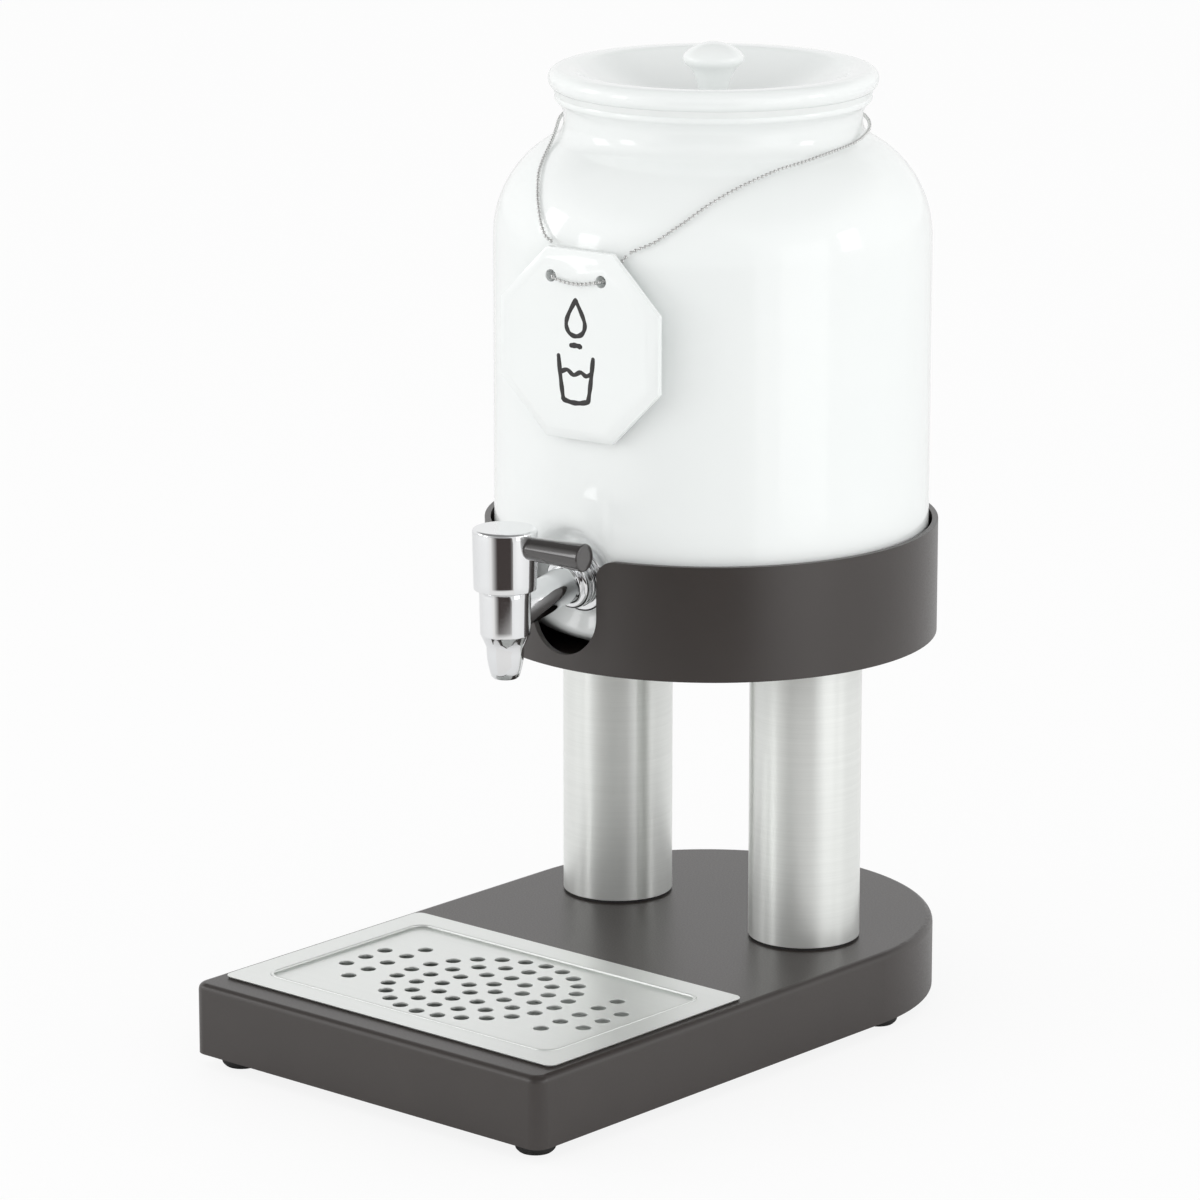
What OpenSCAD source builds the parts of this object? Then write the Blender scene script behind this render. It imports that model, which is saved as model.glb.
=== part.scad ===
// Milk dispenser: a porcelain jar with a turning tap, carried in a painted holder
// on two steel columns over a base with a lift-out drip tray.
// Millimetres, +Z up, front towards -Y. The origin lies on the table under the middle of the base.

/* [Base] */
// Width of the base
base_w = 190; // [176:1:204]
// Length of the base from its flat front to its round back
base_len = 311; // [305:1:330]
// Height of the base housing above its feet
base_h = 30; // [28:1:36]
// Wall of the base housing
base_wall = 3; // [2.5:0.5:3.5]
// Rounding of the top edge of the base
base_edge_r = 3; // [2:0.5:4]
// Rounding of the two front corners, seen from above
base_corner_r = 6; // [5:0.5:9]
// Height of the rubber feet
foot_h = 6; // [5.5:0.5:10]
// Diameter of a foot where it meets the base
foot_d = 18; // [15:0.5:20]
// Distance of a front foot's centre from the front and side of the base
foot_inset = 14; // [13:0.5:16]
// Thickness of the bottom plate
bottom_t = 1.5; // [1:0.25:2]

/* [Drip tray] */
// Distance from each side of the base to the grid
grid_side = 5; // [4.5:0.25:8]
// Depth of the drip grid from front to back
grid_d = 118; // [112:1:124]
// Sheet thickness of the drip grid
grid_t = 1; // [0.8:0.1:1.2]
// Distance from the front of the base to the grid
grid_front = 13; // [12:0.5:18]
// Width of the flat rim around the sunk panel
grid_rim = 11; // [10.5:0.25:12]
// How far the panel is pressed below the rim
grid_drop = 1; // [0.75:0.25:2]
// Corner rounding of the sunk panel
panel_corner_r = 7; // [5:0.5:9]
// Diameter of a drain hole
hole_d = 6.5; // [5:0.25:7]
// Distance between neighbouring rings and rows of holes
hole_pitch = 11.6; // [10.5:0.1:11.8]
// Sheet thickness of the drip pan
pan_t = 1; // [0.8:0.1:1.2]
// Depth of the drip pan below its flange
pan_depth = 22; // [15:1:23]
// Width of the pan's flange
pan_flange = 5; // [4:0.25:6]

/* [Columns] */
// Diameter of a column
column_d = 46.8; // [42:0.2:50]
// Distance of a column's centre from the side of the base
column_inset = 43.25; // [42:0.25:47]
// Length of a column
column_len = 124.5; // [118:0.5:150]
// Tube wall of a column
column_wall = 1.5; // [1.2:0.1:2]
// Thickness of the dark gasket under each column
gasket_t = 0.8; // [0.6:0.1:1.2]

/* [Holder] */
// Gap between the jar and the holder ring
jar_gap = 1.5; // [1:0.25:2.5]
// Height of the holder ring
holder_h = 48; // [46:0.5:54]
// Wall of the holder ring
holder_wall = 2.5; // [2:0.25:2.75]
// Floor thickness of the holder
holder_floor = 2.7; // [2.5:0.1:3.2]
// Width of the notch for the tap
notch_w = 35; // [34:0.5:42]
// Height of the notch bottom above the underside of the holder
notch_sill = 6; // [5:0.5:8]
// Rounding of the notch's upper corners
notch_corner_r = 8; // [5:0.5:10]
// Thickness of the rubber mat under the jar
mat_t = 1.5; // [1:0.25:2.5]

/* [Jar] */
// Outer diameter of the jar
jar_d = 182; // [178:0.5:183]
// Wall of the jar
jar_wall = 6; // [5:0.25:7]
// Length of the straight side of the jar
jar_side = 137; // [125:0.5:165]
// Rounding between the side and the bottom of the jar
jar_base_r = 25; // [22:0.5:28]
// Rounding of the shoulder
shoulder_r = 45; // [40:0.5:50]
// Height of the foot ring under the jar
jar_foot_h = 1.5; // [1:0.25:2.5]
// Outer diameter of the neck
neck_d = 123.6; // [121:0.2:127]
// Height of the neck up to its mouth
neck_h = 11.7; // [10.5:0.1:16]
// Diameter of the flared mouth
mouth_d = 131.2; // [129:0.2:133]
// Rounding between the shoulder and the neck
neck_fillet_r = 9; // [6:0.5:12]

/* [Lid] */
// Diameter of the lid
lid_d = 136.4; // [134:0.2:142]
// Thickness of the lid's rounded rim
lid_rim = 9; // [8:0.25:10]
// Depth of the dish in the lid
dish_depth = 20; // [17:0.5:22]
// Thickness of the dish
lid_wall = 6; // [5:0.25:7]
// Diameter of the knob
knob_d = 25.5; // [22:0.5:30]
// Height of the knob above the rim of the lid
knob_rise = 10.3; // [9:0.1:14]
// Thickness of the seal under the rim
seal_t = 1; // [0.8:0.1:1.5]

/* [Tap] */
// Height of the middle of the tap's pad above the underside of the jar
tap_height = 32.8; // [32:0.1:35]
// Slope of the tap's pipe, down from the jar
pipe_slope = 10; // [8:0.5:11]
// Distance of the turning axis from the jar axis
tap_reach = 129; // [126:0.5:140]
// How far the flat pad for the tap is sunk into the side of the jar
pad_sink = 9; // [8:0.25:9.5]
// Diameter of the rosette
rosette_d = 30; // [27:0.5:31]
// Diameter of the pipe at the rosette
pipe_d = 15.4; // [14:0.2:15.8]
// Diameter of the turning cap
cap_d = 26.6; // [25.6:0.1:28]
// Height of the turning cap
cap_h = 25.2; // [24:0.2:28]
// Diameter of the barrel below the cap
barrel_d = 21.2; // [20.6:0.2:22.4]
// Diameter of the valve plug
plug_d = 13; // [12:0.25:13.5]
// Diameter of the milk passage
passage_d = 6.4; // [5:0.2:6.6]
// Length of the lever from the turning axis
lever_len = 40; // [32:0.5:50]
// Diameter of the lever at its end
lever_d = 11.6; // [9:0.2:12]
// Angle of the closed lever behind the side of the tap
lever_turn = 5; // [0:1:15]

/* [Tag] */
// Size of the eight-sided tag across its flats
tag_size = 78; // [70:1:84]
// Thickness of the tag
tag_t = 5.2; // [4.5:0.1:6]
// Height of the tag's centre above the underside of the jar
tag_height = 132; // [127:0.2:133]
// Angle of the tag from the front of the jar
tag_turn = 6; // [0:0.5:10]
// Diameter of a chain hole in the tag
tag_hole_d = 5; // [4:0.25:6]
// Diameter of the ball chain
chain_d = 1.5; // [1.2:0.1:1.6]

/* [Hidden] */
$fn = 96;

// Extra length of every cut
overrun = 1;
// Clearance of a turned or threaded fit
fit = 0.05;
// Clearance of a turning part in its bore
run_fit = 0.03;
// Clearance of a part that drops into place
drop_fit = 0.5;
// Gap between a turning face and a fixed face
face_gap = 0.3;

// Levels from the table upwards
base_top = foot_h + base_h;
holder_z = base_top + gasket_t + column_len;
floor_z = holder_z + holder_floor;
jar_z = floor_z + mat_t;
belly_z = jar_z + jar_foot_h;
side_z0 = belly_z + jar_base_r;
side_z1 = side_z0 + jar_side;

// Plan of the base: the jar, the holder and the columns stand on the centre of the round end
axis_y = base_len / 2 - base_w / 2;
front_y = -base_len / 2;

// Feet and their screws
foot_round = 1.5;
foot_taper = 1;
foot_x = base_w / 2 - foot_inset;
foot_places = [[-foot_x, front_y + foot_inset], [foot_x, front_y + foot_inset],
    [-foot_x, axis_y + foot_inset], [foot_x, axis_y + foot_inset]];
foot_screw_d = 4;
foot_screw_head_d = 7.2;
foot_screw_head_h = 2.2;
foot_screw_sink = 3;
foot_screw_grip = 9;
boss_d = 9;
bottom_fit = 0.3;

// Drip grid, and the pan that hangs below it
grid_w = base_w - 2 * grid_side;
grid_y = front_y + grid_front + grid_d / 2;
grid_corner_r = 4;
panel_w = grid_w - 2 * grid_rim;
panel_d = grid_d - 2 * grid_rim;
ring_shares = [0.625, 1.545, 2.465, 3.39];
ring_counts = [4, 10, 16, 24];
row_inset = 13.7;
row_step = 12.3;
row_counts = [3, 5];
pan_play = 1;
pan_w = panel_w + 2 * pan_play;
pan_d = panel_d + 2 * pan_play;
pan_corner_r = panel_corner_r + pan_play;
pan_seat_fit = 0.3;

// Column plugs and bolts
column_x = base_w / 2 - column_inset;
plug_len = 12;
bolt_d = 8;
bolt_head_d = 13;
bolt_head_h = 8;
sink_head_d = bolt_d + 2 * holder_floor;

// Holder ring and the mat on its floor
holder_r = jar_d / 2 + jar_gap + holder_wall;
notch_r = notch_w / 2;
mat_margin = 2;

// Jar
jar_r = jar_d / 2;
neck_r = neck_d / 2;
shoulder_angle = acos(1 - (jar_r - neck_r) / (shoulder_r + neck_fillet_r));
neck_z = side_z1 + (shoulder_r + neck_fillet_r) * sin(shoulder_angle);
mouth_z = neck_z + neck_h;
bead_r = 2;
flare_r = 8;
bead_x = mouth_d / 2 - bead_r;
flare_x = neck_r + flare_r;
flare_z = mouth_z - bead_r - sqrt(pow(flare_r + bead_r, 2) - pow(flare_x - bead_x, 2));
flare_end_x = flare_x - (flare_x - bead_x) * flare_r / (flare_r + bead_r);
jar_foot_d = 120;
jar_foot_w = 6;

// Lid
lid_r = lid_d / 2;
lid_z = mouth_z + seal_t;
rim_z = lid_z + lid_rim;
lip_r = lid_rim / 2;
lip_x = lid_r - lip_r;
lip_flat = 2.6;
dish_lip_x = lip_x - lip_flat;
dish_r = (pow(dish_lip_x, 2) + pow(dish_depth - lid_rim, 2) - pow(lid_rim, 2)) / (2 * dish_depth);
dish_z = rim_z + dish_r - dish_depth;
lid_plug_fit = 0.6;
lid_plug_r = neck_r - jar_wall - lid_plug_fit;
seal_w = 5;
knob_top = rim_z + knob_rise;
knob_r = knob_d / 2;
knob_edge_r = 2.6;
knob_head_h = 7.4;
knob_edge_z = knob_top - knob_head_h;
knob_edge_x = knob_r - knob_edge_r;
knob_waist_r = 6.2;
knob_dome_r = (pow(knob_edge_x, 2) + pow(knob_head_h, 2) - pow(knob_edge_r, 2))
    / (2 * (knob_head_h - knob_edge_r));
knob_dome_z = knob_top - knob_dome_r;
knob_meet = knob_dome_r / (knob_dome_r - knob_edge_r);
knob_flare_r = 7;

// Tap: places along the sloping pipe are distances from the jar axis
tap_z = jar_z + tap_height;
pad_reach = jar_r - pad_sink;
pad_place = pad_reach / cos(pipe_slope);
head_place = tap_reach / cos(pipe_slope);
pipe_root_z = tap_z + pad_reach * tan(pipe_slope);
head_z = pipe_root_z - tap_reach * tan(pipe_slope);
pad_margin = 0.8;
pad_r = rosette_d / 2 + pad_margin;
pad_wall_angle = 55;
pad_cut = pad_sink + jar_wall;
boss_r = 27;
boss_wall = 8.3;
boss_back = pad_place - boss_wall;
shank_d = 10;
shank_hole_fit = 0.5;
washer_t = 1.6;
washer_d = 21.6;
rosette_t = 4;
rosette_edge_r = 1.2;
collar_d = 23.4;
collar_t = 2.2;
ferrule_d = 22.6;
ferrule_t = 4;
ferrule_edge_r = 1.6;
nut_flats = 15;
nut_t = 5;
inner_washer_d = 18;
shank_tail = 2.5;
spigot_d = 8;
spigot_len = 10;
pipe_flare = 0.6;
pad_to_collar = pad_place + rosette_t;
ferrule_start = pad_to_collar + collar_t;
pipe_start = ferrule_start + ferrule_t;
washer_end = boss_back - washer_t;
nut_end = washer_end - nut_t;
shank_end = nut_end - shank_tail;

// Tap head: heights relative to the pipe axis
joint_rise = 11;
cap_taper = 0.5;
cap_edge_r = 1;
barrel_taper = 0.4;
barrel_drop = 7.3;
cone_drop = 5.4;
cone_end_d = 15.4;
nozzle_drop = 25.8;
nozzle_d = 10.4;
nozzle_round = 40;
plug_floor = 8.2;
flange_d = 16;
flange_t = 2;
bonnet_d = 19;
bonnet_h = 4;
tang_flats = 7;
tang_fit = 0.1;
cap_roof = 3.8;
cap_cavity_h = 5;
lever_drop = 6.8;
lever_root_d = 9.2;
lever_spigot_d = 5;
lever_edge_r = 0.6;
seal_cord_d = 1.5;
seal_land = 0.1;
lower_seal_drop = 5.8;
upper_seal_rise = 2.2;

// Tag: its back face stands off the jar by the chain behind it
tag_stand = 1.9;
tag_back = jar_r + tag_stand;
tag_z = jar_z + tag_height;
tag_hole_x = 12.3;
tag_hole_rise = 27.7;
tag_bevel_w = 5;
tag_bevel_h = 2.4;
tag_back_bevel = 0.6;

// Route of the chain round the neck, from the right of the tag to its left.
// Across the jar and along it from the jar axis, then height above the table.
neck_route = [[30, -87.5, 336.5], [33.5, -85.5, 338.5], [38.5, -82.5, 341], [43.5, -78, 345.5],
    [48, -73, 350], [52.5, -66, 355.5], [57, -57, 360.5], [61, -46.5, 364.5], [64, -35.5, 367.5],
    [66, -24, 369], [67, -12, 370.5], [66, 1, 371.5], [64, 14, 372.5], [59.5, 26.5, 374], [51.5, 39, 375],
    [40, 50, 376.5], [21.5, 60.5, 377.5], [0, 64, 378], [-21.5, 60.5, 378], [-40, 50, 378],
    [-52.5, 36.5, 378], [-60.5, 21, 378], [-64, 2, 378], [-61.5, -18, 377.5], [-54.5, -33.5, 376],
    [-48, -43, 374], [-42.5, -51.5, 371], [-38.5, -59, 368], [-35, -66, 365], [-32, -71.5, 362],
    [-29, -76, 359], [-23.5, -82.5, 352.5], [-19, -86.5, 347], [-15, -89.5, 342.5], [-11, -91.5, 339],
    [-6.5, -92.5, 337.5]];
// Route of the chain through the tag: along the tag, outwards from the jar axis, then height
tag_route = [[20, 90.5, 335.8], [17.5, 91.3, 332.5], [14.8, 91.6, 329], [12.8, 92.5, 326.2],
    [12.3, 94.5, 325.5], [12, 96.8, 325.1], [11, 98.7, 324.9], [8.5, 99.3, 324.4], [4.5, 99.3, 323.6],
    [0, 99.3, 323.3], [-4.5, 99.3, 323.6], [-8.5, 99.3, 324.4], [-11, 98.7, 324.9], [-12, 96.8, 325.1],
    [-12.3, 94.5, 325.5], [-12.8, 92.5, 326.2], [-13.8, 91.6, 329.5], [-14.8, 91.5, 333],
    [-15.5, 91.5, 336.3]];
chain_sides = 8;
neck_steps = 2;
tag_steps = 2;

// Points between b and c on a smooth curve through the neighbours a, b, c and d
function curve_point(a, b, c, d, t) =
    0.5 * (2 * b + (c - a) * t + (2 * a - 5 * b + 4 * c - d) * t * t + (3 * b - a - 3 * c + d) * t * t * t);

// The whole route, with a number of steps between neighbouring points
function curve_route(p, steps) = [
    for (i = [0 : len(p) - 2], s = [0 : steps - 1])
        curve_point(p[max(i - 1, 0)], p[i], p[i + 1], p[min(i + 2, len(p) - 1)], s / steps),
    p[len(p) - 1]];

function unit(v) = v / norm(v);

// Direction of a route at point i
function heading(p, i) = unit(p[min(i + 1, len(p) - 1)] - p[max(i - 1, 0)]);

// A sideways direction carried along a route without twist
function carried(v, t) = unit(v - (v * t) * t);

// Tube along a route
module tube(route, d) {
    n = len(route);
    across = [for (i = 0, v = carried([0, 0, 1], heading(route, 0)); i < n;
        i = i + 1, v = i < n ? carried(v, heading(route, i)) : v) v];
    points = [for (i = [0 : n - 1], k = [0 : chain_sides - 1])
        route[i] + d / 2 * (cos(360 * k / chain_sides) * across[i]
            + sin(360 * k / chain_sides) * cross(heading(route, i), across[i]))];
    sides = [for (i = [0 : n - 2], k = [0 : chain_sides - 1], half = [0, 1])
        let (a = i * chain_sides + k, b = i * chain_sides + (k + 1) % chain_sides)
        half == 0 ? [a, a + chain_sides, b] : [b, a + chain_sides, b + chain_sides]];
    first_end = [for (k = [1 : chain_sides - 2]) [0, k, k + 1]];
    last = (n - 1) * chain_sides;
    last_end = [for (k = [1 : chain_sides - 2]) [last, last + k + 1, last + k]];
    polyhedron(points = points, faces = concat(sides, first_end, last_end));
}

// Rectangle with round corners, seen from above
module round_rect(w, d, r) {
    square([w - 2 * r, d], center = true);
    square([w, d - 2 * r], center = true);
    for (sx = [-1, 1], sy = [-1, 1])
        translate([sx * (w / 2 - r), sy * (d / 2 - r)]) circle(r = r);
}

// Places its children on the axis of the jar
module on_axis() {
    translate([0, axis_y, 0]) children();
}

// Places its children on the tap's sloping pipe: their z runs forward from the jar axis
module on_pipe() {
    translate([0, axis_y, pipe_root_z]) rotate([90 + pipe_slope, 0, 0]) children();
}

// Places its children on the turning axis of the tap, where the pipe meets it
module on_head() {
    translate([0, axis_y - tap_reach, head_z]) children();
}

// Places its children on the back of the tag: x along it, y up, z outwards
module on_tag() {
    on_axis() rotate([0, 0, tag_turn]) translate([0, -tag_back, tag_z]) rotate([90, 0, 0]) children();
}

// Both columns
module at_columns() {
    for (side = [-1, 1]) translate([side * column_x, axis_y, 0]) children();
}

// All four feet
module at_feet() {
    for (place = foot_places) translate([place[0], place[1], 0]) children();
}

// Half of the base's upright section, out to the distance r, with its rounded top edge
module base_half(r) {
    translate([0, foot_h]) square([r, base_h - base_edge_r]);
    translate([0, foot_h]) square([r - base_edge_r, base_h]);
    translate([r - base_edge_r, base_top - base_edge_r])
        intersection() {
            circle(r = base_edge_r);
            square(base_edge_r);
        }
}

// Outline of the base, drawn in from its outside
module base_plan(inset) {
    translate([inset - base_w / 2, front_y + inset]) square([base_w - 2 * inset, axis_y - front_y - inset]);
    on_axis() circle(r = base_w / 2 - inset);
}

// Solid block of the base with its rounded edges
module base_block() {
    on_axis() rotate_extrude() base_half(base_w / 2);
    on_axis() rotate([90, 0, 0]) linear_extrude(height = axis_y - front_y - base_corner_r) {
        base_half(base_w / 2);
        mirror([1, 0]) base_half(base_w / 2);
    }
    translate([base_corner_r - base_w / 2, front_y + 2 * base_corner_r, 0]) rotate([90, 0, 90])
        linear_extrude(height = base_w - 2 * base_corner_r) mirror([1, 0]) base_half(2 * base_corner_r);
    for (side = [-1, 1])
        translate([side * (base_w / 2 - base_corner_r), front_y + base_corner_r, 0])
            rotate_extrude() base_half(base_corner_r);
}

// Painted housing with the opening for the drip pan
module base_shell() color("#5c5651") {
    difference() {
        union() {
            difference() {
                base_block();
                translate([0, 0, foot_h - overrun])
                    linear_extrude(height = base_h - base_wall + overrun) base_plan(base_wall);
            }
            at_feet() translate([0, 0, foot_h + bottom_t])
                cylinder(d = boss_d, h = base_h - base_wall - bottom_t);
        }
        at_feet() translate([0, 0, foot_h])
            cylinder(d = foot_screw_d + 2 * fit, h = bottom_t + foot_screw_grip + overrun);
        at_columns() cylinder(d = bolt_d + 2 * fit, h = base_top + overrun);
        translate([0, grid_y, base_top - pan_t]) linear_extrude(height = pan_t + overrun)
            round_rect(pan_w + 2 * (pan_t + pan_flange + pan_seat_fit),
                pan_d + 2 * (pan_t + pan_flange + pan_seat_fit), pan_corner_r + pan_flange);
        translate([0, grid_y, base_top - base_wall - overrun]) linear_extrude(height = base_wall + 2 * overrun)
            round_rect(pan_w + 2 * (pan_t + drop_fit), pan_d + 2 * (pan_t + drop_fit), pan_corner_r + pan_t);
    }
}

// Sheet that closes the base from below
module bottom_plate() color("#3a3836") {
    translate([0, 0, foot_h]) difference() {
        linear_extrude(height = bottom_t) base_plan(base_wall + bottom_fit);
        at_feet() translate([0, 0, -overrun]) cylinder(d = foot_screw_d + 2 * fit, h = bottom_t + 2 * overrun);
    }
}

// Rubber feet with a sunk hole for their screws
module feet() color("#1d1c1b") {
    at_feet() difference() {
        union() {
            cylinder(d1 = foot_d - 2 * (foot_taper + foot_round), d2 = foot_d - 2 * foot_taper, h = foot_round);
            translate([0, 0, foot_round])
                cylinder(d1 = foot_d - 2 * foot_taper, d2 = foot_d, h = foot_h - foot_round);
        }
        translate([0, 0, -overrun]) cylinder(d = foot_screw_d + 2 * fit, h = foot_h + 2 * overrun);
        translate([0, 0, -overrun])
            cylinder(d = foot_screw_head_d + 2 * drop_fit, h = foot_screw_sink + overrun);
    }
}

// Screws that hold the feet and the bottom plate to the housing
module foot_screws() color("#9a9a9a") {
    at_feet() translate([0, 0, foot_screw_sink - foot_screw_head_h]) {
        cylinder(d = foot_screw_head_d, h = foot_screw_head_h);
        cylinder(d = foot_screw_d,
            h = foot_screw_head_h + foot_h - foot_screw_sink + bottom_t + foot_screw_grip);
    }
}

// Pressed steel pan that hangs in the base
module drip_pan() color("#b9bcbe") {
    difference() {
        union() {
            translate([0, grid_y, base_top - pan_t]) linear_extrude(height = pan_t)
                round_rect(pan_w + 2 * (pan_t + pan_flange), pan_d + 2 * (pan_t + pan_flange),
                    pan_corner_r + pan_flange);
            translate([0, grid_y, base_top - pan_depth]) linear_extrude(height = pan_depth)
                round_rect(pan_w + 2 * pan_t, pan_d + 2 * pan_t, pan_corner_r + pan_t);
        }
        translate([0, grid_y, base_top - pan_depth + pan_t]) linear_extrude(height = pan_depth)
            round_rect(pan_w, pan_d, pan_corner_r);
    }
}

// Drain holes of the grid: rings round its centre and rows towards its sides
module drain_holes() {
    for (i = [0 : len(ring_shares) - 1], k = [0 : ring_counts[i] - 1])
        rotate([0, 0, 360 * k / ring_counts[i]]) translate([0, -ring_shares[i] * hole_pitch, 0])
            circle(d = hole_d);
    for (side = [-1, 1], i = [0 : len(row_counts) - 1], k = [0 : row_counts[i] - 1])
        translate([side * (panel_w / 2 - row_inset - i * row_step), (k - (row_counts[i] - 1) / 2) * hole_pitch])
            circle(d = hole_d);
}

// Pressed steel grid with its sunk and pierced panel
module drip_grid() color("#c8cacc") {
    translate([0, grid_y, base_top]) difference() {
        union() {
            linear_extrude(height = grid_t) round_rect(grid_w, grid_d, grid_corner_r);
            translate([0, 0, -grid_drop])
                linear_extrude(height = grid_drop) round_rect(panel_w, panel_d, panel_corner_r);
        }
        translate([0, 0, grid_t - grid_drop]) linear_extrude(height = grid_drop + overrun)
            round_rect(panel_w - 2 * grid_t, panel_d - 2 * grid_t, panel_corner_r - grid_t);
        translate([0, 0, -grid_drop - overrun]) linear_extrude(height = grid_drop + 2 * overrun) drain_holes();
    }
}

// Dark gaskets under the columns
module column_gaskets() color("#222120") {
    at_columns() translate([0, 0, base_top]) difference() {
        cylinder(d = column_d - gasket_t, h = gasket_t);
        translate([0, 0, -overrun]) cylinder(d = bolt_d + 2 * drop_fit, h = gasket_t + 2 * overrun);
    }
}

// Brushed steel tube from the base to the holder
module column(side) {
    translate([side * column_x, axis_y, base_top + gasket_t]) difference() {
        cylinder(d = column_d, h = column_len);
        translate([0, 0, -overrun]) cylinder(d = column_d - 2 * column_wall, h = column_len + 2 * overrun);
    }
}

module column_left() color("#c4c6c8") column(-1);

module column_right() color("#c4c6c8") column(1);

// Threaded plugs in both ends of both columns
module column_plugs() color("#a8abad") {
    at_columns() for (z = [base_top + gasket_t, holder_z - plug_len]) translate([0, 0, z]) difference() {
        cylinder(d = column_d - 2 * column_wall - 2 * fit, h = plug_len);
        translate([0, 0, -overrun]) cylinder(d = bolt_d + 2 * fit, h = plug_len + 2 * overrun);
    }
}

// Bolts from inside the base into the columns
module lower_bolts() color("#8d8f90") {
    at_columns() translate([0, 0, base_top - base_wall - bolt_head_h]) {
        cylinder(d = bolt_head_d, h = bolt_head_h);
        cylinder(d = bolt_d, h = bolt_head_h + base_wall + gasket_t + plug_len);
    }
}

// Sunk bolts from the floor of the holder into the columns
module upper_bolts() color("#8d8f90") {
    at_columns() {
        translate([0, 0, holder_z]) cylinder(d1 = bolt_d, d2 = sink_head_d, h = holder_floor);
        translate([0, 0, holder_z - plug_len]) cylinder(d = bolt_d, h = plug_len);
    }
}

// Outline of the notch, seen from the front
module notch_shape() {
    translate([0, holder_z + notch_sill + notch_r]) circle(r = notch_r);
    translate([-notch_r, holder_z + notch_sill + notch_r])
        square([notch_w, holder_h - notch_sill - notch_r + overrun]);
    difference() {
        translate([-notch_r - notch_corner_r, holder_z + holder_h - notch_corner_r])
            square([notch_w + 2 * notch_corner_r, notch_corner_r + overrun]);
        for (side = [-1, 1])
            translate([side * (notch_r + notch_corner_r), holder_z + holder_h - notch_corner_r])
                circle(r = notch_corner_r);
    }
}

// Painted ring that the jar stands in
module holder_ring() color("#4a4440") {
    difference() {
        on_axis() translate([0, 0, holder_z]) difference() {
            cylinder(r = holder_r, h = holder_h);
            translate([0, 0, holder_floor]) cylinder(r = holder_r - holder_wall, h = holder_h);
        }
        on_axis() rotate([90, 0, 0]) linear_extrude(height = holder_r + overrun) notch_shape();
        at_columns() {
            translate([0, 0, holder_z - overrun])
                cylinder(d = bolt_d + 2 * fit, h = holder_floor + 2 * overrun);
            translate([0, 0, holder_z])
                cylinder(d1 = bolt_d + 2 * fit, d2 = sink_head_d + 2 * fit, h = holder_floor);
        }
    }
}

// Rubber mat that the foot ring of the jar stands on
module jar_mat() color("#242322") {
    on_axis() translate([0, 0, floor_z]) cylinder(r = jar_foot_d / 2 + mat_margin, h = mat_t);
}

// Section of the jar out to its outside, or drawn in by its wall
module jar_section(inset) {
    low_x = jar_r - jar_base_r;
    high_x = jar_r - shoulder_r;
    root_x = neck_r + neck_fillet_r - (neck_fillet_r + inset) * cos(shoulder_angle);
    root_z = neck_z - (neck_fillet_r + inset) * sin(shoulder_angle);
    translate([0, side_z0]) square([jar_r - inset, jar_side]);
    translate([low_x, side_z0]) circle(r = jar_base_r - inset);
    translate([high_x, side_z1]) circle(r = shoulder_r - inset);
    translate([0, belly_z + inset]) square([low_x, jar_base_r]);
    translate([0, side_z1]) square([high_x, shoulder_r - inset]);
    difference() {
        translate([0, root_z]) square([root_x, neck_z - root_z]);
        translate([neck_r + neck_fillet_r, neck_z]) circle(r = neck_fillet_r + inset);
    }
    translate([0, neck_z]) square([neck_r - inset, neck_h + inset]);
}

// Section of the flared mouth with its rounded edge
module mouth_section() {
    difference() {
        translate([0, flare_z]) square([flare_end_x, mouth_z - bead_r - flare_z]);
        translate([flare_x, flare_z]) circle(r = flare_r);
    }
    translate([0, mouth_z - 2 * bead_r]) square([bead_x, 2 * bead_r]);
    translate([bead_x, mouth_z - bead_r]) circle(r = bead_r);
}

// Porcelain jar with its foot ring, flared mouth and sunk pad for the tap
module jar() color("#f4f5f3") {
    difference() {
        union() {
            on_axis() rotate_extrude() {
                difference() {
                    union() {
                        intersection() {
                            jar_section(0);
                            square([jar_r, mouth_z]);
                        }
                        mouth_section();
                    }
                    jar_section(jar_wall);
                }
                translate([jar_foot_d / 2 - jar_foot_w, jar_z])
                    square([jar_foot_w, jar_foot_h + jar_wall / 2]);
            }
            intersection() {
                on_pipe() translate([0, 0, boss_back]) cylinder(r = boss_r, h = boss_wall + pad_cut);
                on_axis() rotate_extrude() jar_section(jar_wall / 2);
            }
        }
        on_pipe() translate([0, 0, pad_place])
            cylinder(r1 = pad_r, r2 = pad_r + pad_cut * tan(pad_wall_angle), h = pad_cut);
        on_pipe() translate([0, 0, boss_back - overrun])
            cylinder(d = shank_d + 2 * shank_hole_fit, h = pad_place - boss_back + 2 * overrun);
    }
}

// Silicone ring between the jar and the lid
module lid_seal() color("#e8e9e6") {
    on_axis() translate([0, 0, mouth_z]) difference() {
        cylinder(r = bead_x, h = seal_t);
        translate([0, 0, -overrun]) cylinder(r = bead_x - seal_w, h = seal_t + 2 * overrun);
    }
}

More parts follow.
